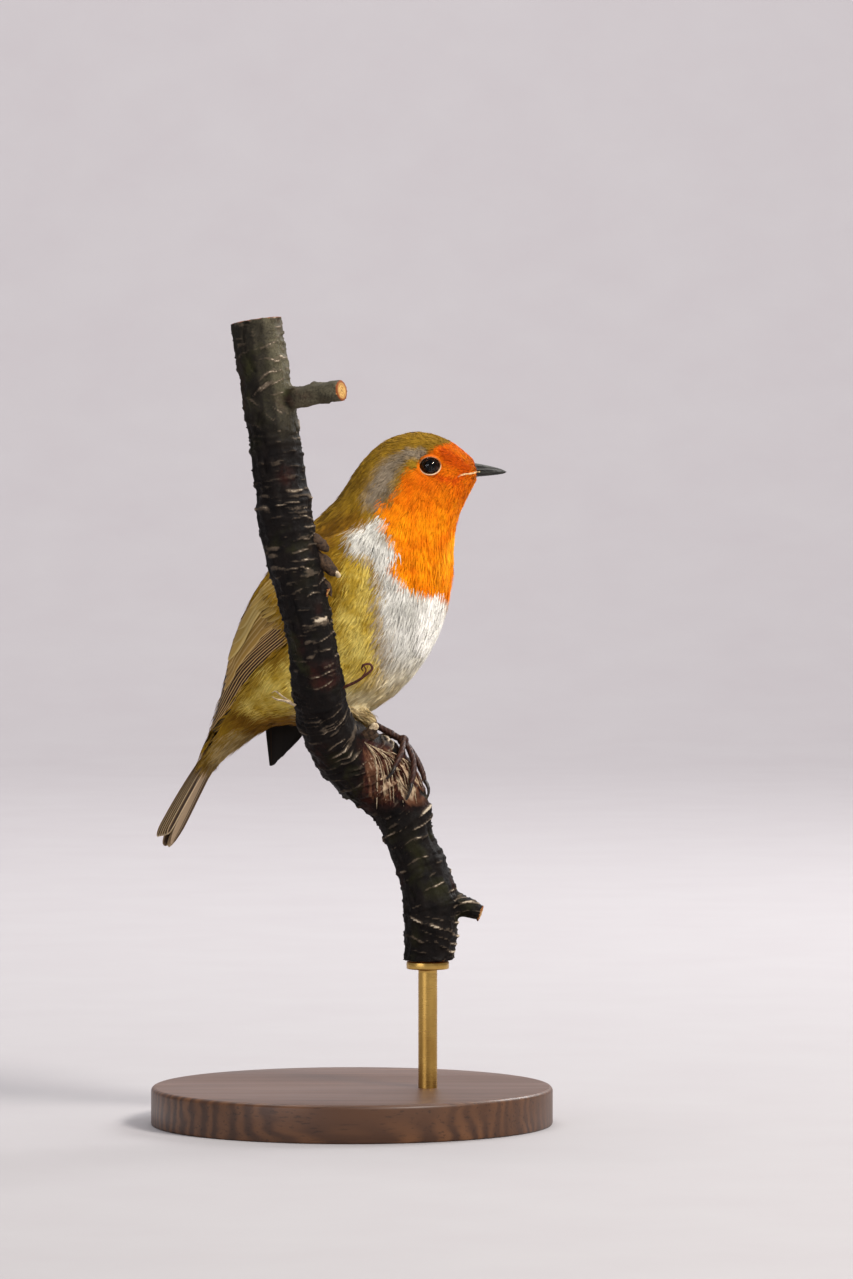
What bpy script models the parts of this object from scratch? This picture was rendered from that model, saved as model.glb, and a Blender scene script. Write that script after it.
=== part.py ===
"""A European robin gripping a cut length of branch, held by a plain display stand.

Metres, +Z up. The bird looks along +X and its right side is towards -Y. The origin is on the floor,
under the middle of the stand's round base.
"""
import math

import bmesh
import bpy
import numpy as np
from mathutils import Vector

MM = 0.001
GAP = 0.3 * MM                     # clearance between neighbouring solids

# Head, neck and trunk, as one body of oval sections from the tail coverts to the bill, in mm:
# name, back x and z, belly x and z, half width
SECTIONS = (
    ("tail_coverts", -40.2, 97.6, -35.6, 94.2, 4.6),
    ("tail_root", -36.6, 104.4, -30.2, 98.9, 5.8),
    ("vent", -33.6, 112.6, -20.6, 104.9, 9.4),
    ("rump", -31.8, 121.6, -7.4, 105.4, 14.6),
    ("thighs", -29.4, 131.6, 6.0, 109.2, 18.0),
    ("belly", -25.2, 140.8, 16.4, 118.4, 19.6),
    ("breast", -18.8, 149.8, 23.2, 130.2, 19.2),
    ("shoulders", -11.6, 157.4, 26.2, 142.8, 17.4),
    ("neck_base", -5.2, 163.2, 26.6, 151.6, 14.6),
    ("neck", -1.0, 168.8, 27.3, 157.8, 12.4),
    ("nape", 2.6, 174.6, 29.0, 162.4, 11.2),
    ("hindcrown", 8.6, 180.2, 30.6, 165.6, 10.0),
    ("crown", 17.2, 182.6, 31.8, 168.0, 8.0),
    ("brow", 25.0, 180.6, 32.7, 169.4, 6.2),
    ("lore", 30.2, 176.9, 33.2, 170.3, 4.4),
    ("bill_root", 32.6, 174.7, 33.6, 171.0, 2.7),
)
BODY_YAW = math.radians(15.0)      # the breast is turned towards -Y, the head is not
HEAD_Y = 1.0 * MM                  # where the head's middle plane lies
NECK_X = 17.0 * MM                 # behind this the body's middle plane swings away to +Y
NECK_BEND = 10.0 * MM              # length over which the turn builds up
FULLNESS = 0.04                    # how much rounder than an ellipse a section's corners are
CHEEK = 0.05                       # how much wider a section is below its middle than above it
BODY_SIDES = 28
RINGS_PER_SECTION = 2

EYE_CENTRE = Vector((20.6, HEAD_Y / MM, 173.8)) * MM
EYE_SPREAD = 7.9 * MM              # from the head's middle plane to each eyeball's centre
EYE_RADIUS = 2.9 * MM

BILL_BASE = Vector((31.0, HEAD_Y / MM, 172.4)) * MM
BILL_LENGTH = 9.9 * MM
BILL_HALF_WIDTH = 2.1 * MM
BILL_UPPER_HEIGHT = 2.0 * MM
BILL_LOWER_HEIGHT = 1.5 * MM
BILL_DROOP = 0.35 * MM             # fall of the tip below the line of the gape
BILL_SIDES = 12

TAIL_BASE = Vector((-38.5, 15.6, 95.3)) * MM
TAIL_TIP = Vector((-48.9, 18.8, 73.0)) * MM
TAIL_ROLL = math.radians(14.0)     # the underside is turned towards -Y
TAIL_HALF_WIDTHS = (4.2, 4.9, 5.6, 6.2, 6.5, 6.0)
TAIL_THICKNESS = (2.6, 2.0, 1.6, 1.3, 1.0, 0.7)
TAIL_NOTCH = 1.0 * MM
TAIL_ARCH = 0.8 * MM

# Each folded wing: wrist, middle and tip of its line, in mm
WING_LINES = {
    "right": ((3.0, -14.0, 155.0), (-28.0, -3.0, 137.0), (-37.6, 12.4, 102.8)),
    "left": ((10.0, 20.6, 155.0), (-14.0, 27.0, 136.0), (-21.4, 20.0, 93.2)),
}
WING_FREEDOM = {"right": 0.0, "left": 1.0}   # the left wing's tip hangs clear of the body
WING_LEAVES = 0.45                 # share of the length from which a free wing leaves the body
WING_CHORD = Vector((-0.8, 0.0, 0.6))
WING_HALF_CHORD = 12.0 * MM
WING_OUTLINE = (0.30, 0.80, 0.98, 1.0, 0.92, 0.76, 0.54, 0.20)
WING_THICKNESS = (0.9, 1.7, 2.1, 2.0, 1.7, 1.3, 1.0, 0.8)
WING_EDGE = 0.6 * MM
WING_CLEARANCE = 0.5 * MM

# Line of the branch from its lower cut to its upper cut, in mm: x, y, z, radius
PERCH_LINE = (
    (20.0, -5.0, 43.7, 6.8),
    (21.0, -4.6, 57.6, 7.6),
    (18.2, -4.0, 67.8, 6.7),
    (14.8, -3.6, 77.4, 6.8),
    (12.4, -3.6, 85.0, 8.1),
    (7.0, -4.6, 92.1, 9.6),
    (0.2, -9.0, 97.2, 9.2),
    (-5.2, -15.5, 103.6, 7.4),
    (-8.2, -22.0, 114.0, 6.9),
    (-10.0, -26.0, 127.5, 6.6),
    (-12.6, -27.4, 140.5, 6.8),
    (-15.6, -27.2, 153.0, 7.3),
    (-17.8, -26.5, 165.5, 7.2),
    (-19.3, -25.5, 178.0, 6.6),
    (-21.2, -24.6, 191.0, 7.0),
    (-23.4, -23.6, 204.0, 6.7),
    (-24.6, -23.0, 212.0, 6.9),
)
PERCH_FRONT = Vector((1.0, 0.3, 0.4))   # the side of the branch that angles are counted from
PERCH_STEP = 9.3 * MM                   # spacing of its points round the elbow
PERCH_NUDGE = 0.05                      # step along the line over which its direction is taken
PERCH_SIDES = 12
PERCH_SPLIT = 6.7                       # where the branch is parted, in points along its line
# Stubs and spurs on the branch: root point along the line, direction, length and two radii in mm
PERCH_STUBS = {
    "upper": (14.0, (0.86, -0.48, 0.13), 22.0, 3.2, 2.9),
    "middle": (10.6, (0.78, -0.20, -0.60), 11.0, 2.0, 1.3),
    "lower": (1.3, (0.93, -0.12, -0.34), 14.6, 4.2, 2.4),
}

PALM_RADIUS = 1.5 * MM
ANKLE_LENGTH = 3.0 * MM
TOE_RADIUS = 0.75 * MM
TARSUS_RADIUS = 0.85 * MM
CLAW_RADIUS = 0.6 * MM
CLAW_TIP = 0.3 * MM
LEG_SIDES = 8
# Each foot: place along the branch, angle round it, heel in mm, and each toe's reach along the
# branch in mm and round it in degrees, with its claw's length in mm
FEET = {
    "right": (5.15, -10.0, (-9.0, -1.0, 114.0), {
        "hind": (1.5, 46.0, 5.2),
        "inner": (-9.0, -26.0, 4.2),
        "middle": (-7.5, -60.0, 4.6),
        "outer": (1.0, -56.0, 4.2),
    }),
    "left": (5.5, 76.0, (-15.0, 12.0, 113.0), {
        "hind": (4.0, 46.0, 5.2),
        "inner": (-6.0, -32.0, 4.2),
        "middle": (-12.5, -12.0, 4.6),
        "outer": (-9.5, 14.0, 4.2),
    }),
}
THIGH_RADII = (5.2, 5.0, 4.0, 2.6, 1.7)
THIGH_SHARE = 0.74                 # how far down the tarsus the thigh feathers reach

BASE_RADIUS = 53.0 * MM
BASE_THICKNESS = 10.0 * MM
BASE_BEVEL = 1.2 * MM
ROD_RADIUS = 2.5 * MM
ROD_SOCKET = 6.0 * MM              # how deep the rod stands in the base
FLANGE_RADIUS = 5.6 * MM
FLANGE_THICKNESS = 2.0 * MM

COLOURS = {
    "plumage_back": (0.24, 0.17, 0.05),
    "plumage_face": (0.75, 0.14, 0.01),
    "plumage_belly": (0.55, 0.50, 0.36),
    "wing_feathers": (0.16, 0.10, 0.04),
    "tail_feathers": (0.14, 0.08, 0.03),
    "eye": (0.01, 0.01, 0.01),
    "bill": (0.03, 0.03, 0.03),
    "leg": (0.16, 0.07, 0.04),
    "claw": (0.02, 0.015, 0.01),
    "bark": (0.06, 0.04, 0.03),
    "stand_wood": (0.30, 0.17, 0.08),
    "stand_metal": (0.45, 0.36, 0.20),
}
ROUGHNESS = {"eye": 0.1, "bill": 0.4, "claw": 0.4, "stand_wood": 0.45, "stand_metal": 0.3}
PLAIN_ROUGHNESS = 0.8


def clear_scene():
    """Remove whatever the scene holds."""
    for thing in list(bpy.data.objects):
        bpy.data.objects.remove(thing, do_unlink=True)


def make_collection(name):
    """A new collection in the scene."""
    collection = bpy.data.collections.new(name)
    bpy.context.scene.collection.children.link(collection)
    return collection


def make_material(name):
    """A Principled material of one colour."""
    material = bpy.data.materials.new(name)
    material.use_nodes = True
    shader = material.node_tree.nodes["Principled BSDF"]
    shader.inputs["Base Color"].default_value = (*COLOURS[name], 1.0)
    shader.inputs["Roughness"].default_value = ROUGHNESS.get(name, PLAIN_ROUGHNESS)
    shader.inputs["Metallic"].default_value = 1.0 if name == "stand_metal" else 0.0
    return material


def smooth(rows, place):
    """Value at a place, counted in rows, on a smooth curve through the rows of numbers."""
    rows = np.asarray(rows, dtype=float)
    start = int(min(max(math.floor(place), 0), len(rows) - 2))
    share = place - start
    a = rows[max(start - 1, 0)]
    b = rows[start]
    c = rows[start + 1]
    d = rows[min(start + 2, len(rows) - 1)]
    bend = (2 * a - 5 * b + 4 * c - d) * share ** 2 + (3 * b - a - 3 * c + d) * share ** 3
    return b + 0.5 * ((c - a) * share + bend)


def section_place(name):
    """Place of a named section along the body."""
    return [row[0] for row in SECTIONS].index(name)


def add_object(name, mesh, material, collection):
    """Put a finished bmesh into the scene as a smooth-shaded object."""
    bmesh.ops.recalc_face_normals(mesh, faces=mesh.faces)
    data = bpy.data.meshes.new(name)
    mesh.to_mesh(data)
    mesh.free()
    data.materials.append(material)
    data.shade_smooth()
    data.set_sharp_from_angle(angle=math.radians(40.0))
    thing = bpy.data.objects.new(name, data)
    collection.objects.link(thing)
    return thing


def loft(name, rings, material, collection):
    """Closed solid through rings of points, with a flat face at each end."""
    mesh = bmesh.new()
    rows = [[mesh.verts.new(point) for point in ring] for ring in rings]
    for row, following in zip(rows, rows[1:]):
        for i, corner in enumerate(row):
            j = (i + 1) % len(row)
            mesh.faces.new((corner, row[j], following[j], following[i]))
    mesh.faces.new(rows[0][::-1])
    mesh.faces.new(rows[-1])
    return add_object(name, mesh, material, collection)


def plate(name, outer, inner, material, collection):
    """Closed thin solid between two grids of points of one size."""
    mesh = bmesh.new()
    top = [[mesh.verts.new(point) for point in row] for row in outer]
    bottom = [[mesh.verts.new(point) for point in row] for row in inner]
    for grid in (top, bottom):
        for row, following in zip(grid, grid[1:]):
            for j in range(len(row) - 1):
                mesh.faces.new((row[j], row[j + 1], following[j + 1], following[j]))
    rims = []
    for grid in (top, bottom):
        far_side = [row[-1] for row in grid[1:]]
        near_side = [row[0] for row in grid[-2:0:-1]]
        rims.append(grid[0] + far_side + grid[-1][-2::-1] + near_side)
    for i in range(len(rims[0])):
        j = (i + 1) % len(rims[0])
        mesh.faces.new((rims[0][i], rims[0][j], rims[1][j], rims[1][i]))
    return add_object(name, mesh, material, collection)


def tube_rings(points, radii, sides):
    """Round rings square to a line of points."""
    rings = []
    across = (points[1] - points[0]).orthogonal()
    for i, point in enumerate(points):
        along = (points[min(i + 1, len(points) - 1)] - points[max(i - 1, 0)]).normalized()
        across = (across - along * across.dot(along)).normalized()
        other = along.cross(across)
        ring = []
        for k in range(sides):
            angle = 2 * math.pi * k / sides
            ring.append(point + (across * math.cos(angle) + other * math.sin(angle)) * radii[i])
        rings.append(ring)
    return rings


def combine(target, tool, operation):
    """Cut a tool out of the target, or join it on."""
    modifier = target.modifiers.new(operation.lower(), "BOOLEAN")
    modifier.operation = operation
    modifier.object = tool
    tool.hide_render = True
    tool.display_type = "WIRE"


def body_oval(place):
    """Middle of the body's section, with its half depth to the back and half width to the left."""
    back_x, back_z, belly_x, belly_z, half_width = smooth([row[1:] for row in SECTIONS], place) * MM
    middle_x = (back_x + belly_x) / 2
    turn = BODY_YAW * min(max((NECK_X - middle_x) / NECK_BEND, 0.0), 1.0)
    swing = math.tan(BODY_YAW) * max(NECK_X - middle_x, 0.0)
    middle = Vector((middle_x, HEAD_Y + swing, (back_z + belly_z) / 2))
    half_x = (back_x - belly_x) / 2
    depth = Vector((half_x * math.cos(turn), -half_x * math.sin(turn), (back_z - belly_z) / 2))
    width = Vector((math.sin(turn), math.cos(turn), 0.0)) * half_width
    return middle, depth, width


def section_swell(angle):
    """How far the outline stands out from a true ellipse at an angle from the back."""
    return 1 + FULLNESS * math.sin(2 * angle) ** 2 - CHEEK * math.cos(angle) * math.sin(angle) ** 2


def body_ring(place):
    """Points round the body at a place along it, starting at the back."""
    middle, depth, width = body_oval(place)
    ring = []
    for k in range(BODY_SIDES):
        angle = 2 * math.pi * k / BODY_SIDES
        ring.append(middle + (depth * math.cos(angle) + width * math.sin(angle)) * section_swell(angle))
    return ring


def body_length(name, first, last, material, collection):
    """One length of the body between two named sections, half a gap short where it is parted."""
    start = section_place(first)
    end = section_place(last)
    if start > 0:
        start += GAP / 2 / (body_oval(start + 1)[0] - body_oval(start)[0]).length
    if end < len(SECTIONS) - 1:
        end -= GAP / 2 / (body_oval(end)[0] - body_oval(end - 1)[0]).length
    count = RINGS_PER_SECTION * round(end - start) + 1
    places = np.linspace(start, end, count)
    return loft(name, [body_ring(place) for place in places], material, collection)


def onto_body(point, clearance, freedom, ovals):
    """The place straight out from a point that clears the body, or the point itself where it is free."""
    def distance(oval):
        return abs((point - oval[0]).dot(oval[1].cross(oval[2]).normalized()))
    middle, depth, width = min(ovals, key=distance)
    across = point - middle
    back_share = across.dot(depth) / depth.length_squared
    left_share = across.dot(width) / width.length_squared
    angle = math.atan2(left_share, back_share)
    surface = across.length / math.hypot(back_share, left_share) * section_swell(angle) + clearance
    return middle + across.normalized() * (surface + freedom * max(across.length - surface, 0.0))


def make_wing(side, material, collection):
    """A folded wing: a thin curved blade that lies on the body and runs free at its tip."""
    wrist, bow, tip = (Vector(point) * MM for point in WING_LINES[side])
    ovals = [body_oval(place) for place in np.linspace(0, section_place("nape"), 160)]
    steps = 2 * len(WING_OUTLINE)
    columns = np.linspace(-1, 1, 7)
    grid = []
    for share in np.linspace(0, 1, steps):
        centre = wrist * (1 - share) ** 2 + bow * 2 * share * (1 - share) + tip * share ** 2
        half = WING_HALF_CHORD * float(smooth(WING_OUTLINE, share * (len(WING_OUTLINE) - 1)))
        row = [centre + WING_CHORD * half * column for column in columns]
        freedom = WING_FREEDOM[side] * min(max((share - WING_LEAVES) / (1 - WING_LEAVES) * 2, 0.0), 1.0)
        grid.append([onto_body(point, WING_CLEARANCE, freedom, ovals) for point in row])
    outward = Vector((0.0, -1.0 if side == "right" else 1.0, 0.0))
    outer = []
    for i, row in enumerate(grid):
        thick = float(smooth(WING_THICKNESS, i / (steps - 1) * (len(WING_THICKNESS) - 1))) * MM
        lifted = []
        for j, point in enumerate(row):
            along = grid[min(i + 1, steps - 1)][j] - grid[max(i - 1, 0)][j]
            across = row[min(j + 1, len(row) - 1)] - row[max(j - 1, 0)]
            normal = along.cross(across).normalized()
            if normal.dot(outward) < 0:
                normal = -normal
            rise = WING_EDGE + (thick - WING_EDGE) * math.sqrt(1 - columns[j] ** 2)
            lifted.append(point + normal * rise)
        outer.append(lifted)
    return plate(f"wing_{side}", outer, grid, material, collection)


def make_tail(material, collection):
    """The closed tail: a thin arched fan with a shallow notch in its end."""
    axis = TAIL_TIP - TAIL_BASE
    left = Vector((math.sin(BODY_YAW), math.cos(BODY_YAW), 0.0))
    under = axis.cross(left).normalized()
    left = left * math.cos(TAIL_ROLL) + under * math.sin(TAIL_ROLL)
    left = (left - axis * left.dot(axis) / axis.length_squared).normalized()
    under = axis.cross(left).normalized()
    columns = np.linspace(-1, 1, 11)
    upper = []
    lower = []
    for share in np.linspace(0, 1, 10):
        half = float(smooth(TAIL_HALF_WIDTHS, share * (len(TAIL_HALF_WIDTHS) - 1))) * MM
        thick = float(smooth(TAIL_THICKNESS, share * (len(TAIL_THICKNESS) - 1))) * MM
        upper_row = []
        lower_row = []
        for column in columns:
            notch = TAIL_NOTCH * (1 - abs(column)) ** 1.5 + TAIL_NOTCH * abs(column) ** 6
            point = TAIL_BASE + axis * share - axis.normalized() * notch * share
            point = point + left * half * column + under * TAIL_ARCH * column ** 2
            upper_row.append(point - under * thick * 0.5)
            lower_row.append(point + under * thick * 0.5)
        upper.append(upper_row)
        lower.append(lower_row)
    return plate("tail", upper, lower, material, collection)


def make_bill_half(name, upper_height, lower_height, spare, material, collection):
    """One half of the bill: a tapering horn that is flat where the halves meet."""
    rings = []
    for share in np.linspace(0, 1, 8):
        size = (1 - share) ** 0.75 * 0.93 + 0.07
        centre = BILL_BASE + Vector((BILL_LENGTH * share, 0.0, -BILL_DROOP * share ** 2))
        ring = []
        for k in range(BILL_SIDES):
            angle = 2 * math.pi * k / BILL_SIDES
            height = upper_height if math.sin(angle) > 0 else lower_height
            side = math.cos(angle) * (BILL_HALF_WIDTH * size + spare)
            ring.append(centre + Vector((0.0, side, math.sin(angle) * (height * size + spare))))
        rings.append(ring)
    return loft(name, rings, material, collection)


def make_eye(name, side, radius, material, collection):
    """An eyeball, or the cutter for its socket."""
    mesh = bmesh.new()
    bmesh.ops.create_uvsphere(mesh, u_segments=16, v_segments=10, radius=radius)
    centre = EYE_CENTRE + Vector((0.0, EYE_SPREAD * side, 0.0))
    bmesh.ops.translate(mesh, verts=mesh.verts, vec=centre)
    return add_object(name, mesh, material, collection)


def perch_frame(place):
    """Middle, radius, direction, front and far side of the branch at a place along its line."""
    x, y, z, radius = smooth(PERCH_LINE, place) * MM
    ahead = smooth(PERCH_LINE, min(place + PERCH_NUDGE, len(PERCH_LINE) - 1))[:3]
    behind = smooth(PERCH_LINE, max(place - PERCH_NUDGE, 0))[:3]
    along = Vector(ahead - behind).normalized()
    front = (PERCH_FRONT - along * PERCH_FRONT.dot(along)).normalized()
    return Vector((x, y, z)), radius, along, front, along.cross(front)


def on_perch(place, turn, lift):
    """Point above the bark at a place along the branch and an angle round it."""
    middle, radius, _, front, far = perch_frame(place)
    return middle + (front * math.cos(turn) + far * math.sin(turn)) * (radius + lift)


def perch_ring(place):
    """Round section of the branch, level where the branch is cut at its foot."""
    middle, radius, along, front, far = perch_frame(place)
    if place == 0:
        front = Vector((1.0, 0.0, 0.0))
        far = Vector((0.0, 1.0, 0.0))
    ring = []
    for k in range(PERCH_SIDES):
        angle = 2 * math.pi * k / PERCH_SIDES
        ring.append(middle + (front * math.cos(angle) + far * math.sin(angle)) * radius)
    return ring


def make_perch(material, collection, tools):
    """The branch in two lengths, with its stubs joined on."""
    last = len(PERCH_LINE) - 1
    half_gap = GAP / 2 / PERCH_STEP
    lower_places = np.linspace(0, PERCH_SPLIT - half_gap, 20)
    upper_places = np.linspace(PERCH_SPLIT + half_gap, last, 26)
    lower = loft("perch_lower", [perch_ring(place) for place in lower_places], material, collection)
    upper = loft("perch_upper", [perch_ring(place) for place in upper_places], material, collection)
    for name, (place, direction, length, root_radius, end_radius) in PERCH_STUBS.items():
        start = perch_frame(place)[0]
        end = start + Vector(direction).normalized() * length * MM
        points = [start.lerp(end, share) for share in (0.0, 0.5, 1.0)]
        radii = [root_radius * MM, (root_radius + end_radius) / 2 * MM, end_radius * MM]
        stub = loft(f"stub_{name}", tube_rings(points, radii, PERCH_SIDES), material, tools)
        combine(lower if place < PERCH_SPLIT else upper, stub, "UNION")


def toe_line(place, turn, along, around, first, last, lifts):
    """Line of a toe or claw over the bark, between two shares of the toe's whole reach."""
    points = []
    for i, lift in enumerate(lifts):
        share = first + (last - first) * i / (len(lifts) - 1)
        points.append(on_perch(place + along * share, turn + around * share, lift))
    return points


def make_foot(side, leg, claw, collection, tools):
    """A foot of four toes and an ankle on the branch, with a claw for each toe, and its ankle's end."""
    place, turn, heel, toes = FEET[side]
    turn = math.radians(turn)
    palm = on_perch(place, turn, GAP + PALM_RADIUS)
    mesh = bmesh.new()
    bmesh.ops.create_icosphere(mesh, subdivisions=2, radius=PALM_RADIUS)
    bmesh.ops.translate(mesh, verts=mesh.verts, vec=palm)
    foot = add_object(f"foot_{side}", mesh, leg, collection)
    ankle = palm + (Vector(heel) * MM - palm).normalized() * ANKLE_LENGTH
    ankle_line = [palm.lerp(ankle, share) for share in (0.0, 0.5, 1.0)]
    joint = loft(f"ankle_{side}", tube_rings(ankle_line, [TARSUS_RADIUS] * 3, LEG_SIDES), leg, tools)
    combine(foot, joint, "UNION")
    for name, (along, around, claw_length) in toes.items():
        along = along * MM / PERCH_STEP
        around = math.radians(around)
        rest = GAP + TOE_RADIUS
        lifts = [GAP + PALM_RADIUS] + [rest + TOE_RADIUS * rise for rise in (0.7, 0.4, 0.5, 0.3, 0.3, 0.0)]
        line = toe_line(place, turn, along, around, 0.0, 1.0, lifts)
        radii = [TOE_RADIUS * size for size in (1.0, 1.0, 1.1, 0.95, 1.1, 0.95, 0.8)]
        toe = loft(f"toe_{side}_{name}", tube_rings(line, radii, LEG_SIDES), leg, tools)
        combine(foot, toe, "UNION")
        reach = sum((b - a).length for a, b in zip(line, line[1:]))
        first = 1.0 + GAP / reach
        last = first + claw_length * MM / reach
        claw_lifts = [rest + CLAW_RADIUS * rise for rise in (0.1, 0.7, 0.9, 0.6, -0.3)]
        claw_line = toe_line(place, turn, along, around, first, last, claw_lifts)
        claw_radii = [CLAW_RADIUS + (CLAW_TIP - CLAW_RADIUS) * share for share in (0, 0.2, 0.45, 0.7, 1)]
        loft(f"claw_{side}_{name}", tube_rings(claw_line, claw_radii, LEG_SIDES), claw, collection)
    return ankle


def make_leg(side, ankle, trunk, leg, plumage, collection, tools):
    """A bare tarsus from the foot to the heel, and the thigh feathers that cover the heel."""
    heel = Vector(FEET[side][2]) * MM
    reach = (heel - ankle).length
    foot_end = ankle.lerp(heel, GAP / reach)
    tarsus_line = [foot_end.lerp(heel, share) for share in (0.0, 0.12, 0.5, 0.88, 1.0)]
    tarsus_radii = [TARSUS_RADIUS * size for size in (1.2, 1.0, 0.95, 1.0, 1.2)]
    loft(f"tarsus_{side}", tube_rings(tarsus_line, tarsus_radii, LEG_SIDES), leg, collection)
    hole_radii = [radius + GAP for radius in tarsus_radii]
    beyond = heel + (heel - ankle) * GAP / reach
    hole_line = tarsus_line[:-1] + [beyond]
    hole = loft(f"hole_{side}", tube_rings(hole_line, hole_radii, LEG_SIDES), leg, tools)
    top = heel.lerp(ankle, -0.12)
    bottom = heel.lerp(ankle, THIGH_SHARE)
    shares = np.linspace(0, 1, len(THIGH_RADII))
    thigh_line = [top.lerp(bottom, share) for share in shares]
    thigh_radii = [radius * MM for radius in THIGH_RADII]
    sides = 2 * LEG_SIDES
    thigh = loft(f"thigh_{side}", tube_rings(thigh_line, thigh_radii, sides), plumage, collection)
    combine(thigh, hole, "DIFFERENCE")
    spare = (bottom - top).normalized() * GAP
    socket_line = [thigh_line[0] - spare] + thigh_line[1:-1] + [thigh_line[-1] + spare]
    socket_radii = [radius + GAP for radius in thigh_radii]
    socket = loft(f"socket_{side}", tube_rings(socket_line, socket_radii, sides), plumage, tools)
    combine(trunk, socket, "DIFFERENCE")


def make_base(material, collection, tools):
    """The stand's flat round base, with a hole for the rod."""
    bpy.ops.mesh.primitive_cylinder_add(vertices=48, radius=BASE_RADIUS, depth=BASE_THICKNESS)
    base = bpy.context.object
    base.name = "stand_base"
    base.location.z = BASE_THICKNESS / 2
    base.data.materials.append(material)
    move_to(base, collection)
    bevel = base.modifiers.new("rounded rim", "BEVEL")
    bevel.width = BASE_BEVEL
    bevel.segments = 2
    bpy.ops.mesh.primitive_cylinder_add(vertices=24, radius=ROD_RADIUS + GAP, depth=2 * ROD_SOCKET)
    hole = bpy.context.object
    hole.name = "rod_hole"
    hole.location = (PERCH_LINE[0][0] * MM, PERCH_LINE[0][1] * MM, BASE_THICKNESS)
    move_to(hole, tools)
    combine(base, hole, "DIFFERENCE")


def move_to(thing, collection):
    """Link an object to one collection only."""
    for holder in list(thing.users_collection):
        holder.objects.unlink(thing)
    collection.objects.link(thing)


def make_rod(material, collection):
    """The stand's turned rod, with the flange that the branch's lower cut sits on."""
    top = PERCH_LINE[0][2] * MM - GAP
    foot = BASE_THICKNESS - ROD_SOCKET + GAP
    shoulder = top - FLANGE_THICKNESS
    profile = ((0.0, top), (FLANGE_RADIUS, top), (FLANGE_RADIUS, shoulder), (ROD_RADIUS, shoulder),
               (ROD_RADIUS, foot), (0.0, foot))
    data = bpy.data.meshes.new("stand_rod")
    points = [(x, 0.0, z) for x, z in profile]
    data.from_pydata(points, [(i, i + 1) for i in range(len(points) - 1)], [])
    data.materials.append(material)
    rod = bpy.data.objects.new("stand_rod", data)
    rod.location = (PERCH_LINE[0][0] * MM, PERCH_LINE[0][1] * MM, 0.0)
    collection.objects.link(rod)
    screw = rod.modifiers.new("turned", "SCREW")
    screw.steps = 24
    screw.render_steps = 24
    screw.use_merge_vertices = True
    screw.merge_threshold = 0.00005


def build():
    """Make every piece of the robin, its perch and the stand."""
    clear_scene()
    robin = make_collection("robin_on_perch")
    tools = make_collection("cutters")
    paint = {name: make_material(name) for name in COLOURS}

    trunk = body_length("trunk", "tail_coverts", "shoulders", paint["plumage_belly"], robin)
    body_length("neck", "shoulders", "nape", paint["plumage_back"], robin)
    head = body_length("head", "nape", "bill_root", paint["plumage_face"], robin)
    make_tail(paint["tail_feathers"], robin)
    for side in WING_LINES:
        make_wing(side, paint["wing_feathers"], robin)

    for side, sign in (("right", -1), ("left", 1)):
        make_eye(f"eye_{side}", sign, EYE_RADIUS, paint["eye"], robin)
        socket = make_eye(f"eye_socket_{side}", sign, EYE_RADIUS + GAP, paint["eye"], tools)
        combine(head, socket, "DIFFERENCE")
    half_gap = GAP / 2
    make_bill_half("bill_upper", BILL_UPPER_HEIGHT, -half_gap, 0.0, paint["bill"], robin)
    make_bill_half("bill_lower", -half_gap, BILL_LOWER_HEIGHT, 0.0, paint["bill"], robin)
    bill_hole = make_bill_half("bill_hole", BILL_UPPER_HEIGHT, BILL_LOWER_HEIGHT, GAP,
                               paint["bill"], tools)
    combine(head, bill_hole, "DIFFERENCE")

    make_perch(paint["bark"], robin, tools)
    for side in FEET:
        ankle = make_foot(side, paint["leg"], paint["claw"], robin, tools)
        make_leg(side, ankle, trunk, paint["leg"], paint["plumage_belly"], robin, tools)
    make_base(paint["stand_wood"], robin, tools)
    make_rod(paint["stand_metal"], robin)


build()
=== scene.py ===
"""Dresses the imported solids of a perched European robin: its feathers, eyes, bill and feet, the bark
of the branch and the finish of the display stand."""
import math

import bmesh
import bpy
import numpy as np
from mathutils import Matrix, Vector
from mathutils.bvhtree import BVHTree
from mathutils.kdtree import KDTree


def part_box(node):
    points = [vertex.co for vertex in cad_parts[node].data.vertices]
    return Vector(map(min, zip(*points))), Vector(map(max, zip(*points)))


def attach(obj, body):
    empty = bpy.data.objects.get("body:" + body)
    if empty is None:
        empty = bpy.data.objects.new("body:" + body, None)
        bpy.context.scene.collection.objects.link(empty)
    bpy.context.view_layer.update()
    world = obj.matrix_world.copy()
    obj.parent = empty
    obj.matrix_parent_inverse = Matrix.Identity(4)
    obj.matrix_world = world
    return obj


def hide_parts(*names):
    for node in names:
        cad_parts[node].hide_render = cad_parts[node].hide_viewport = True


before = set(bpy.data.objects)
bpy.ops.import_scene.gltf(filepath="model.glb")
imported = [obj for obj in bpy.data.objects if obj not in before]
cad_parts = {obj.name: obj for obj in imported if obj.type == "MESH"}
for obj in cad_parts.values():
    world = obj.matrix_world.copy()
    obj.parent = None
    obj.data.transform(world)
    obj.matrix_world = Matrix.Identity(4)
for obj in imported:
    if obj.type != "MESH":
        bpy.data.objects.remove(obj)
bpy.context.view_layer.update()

MM = 0.001

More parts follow.
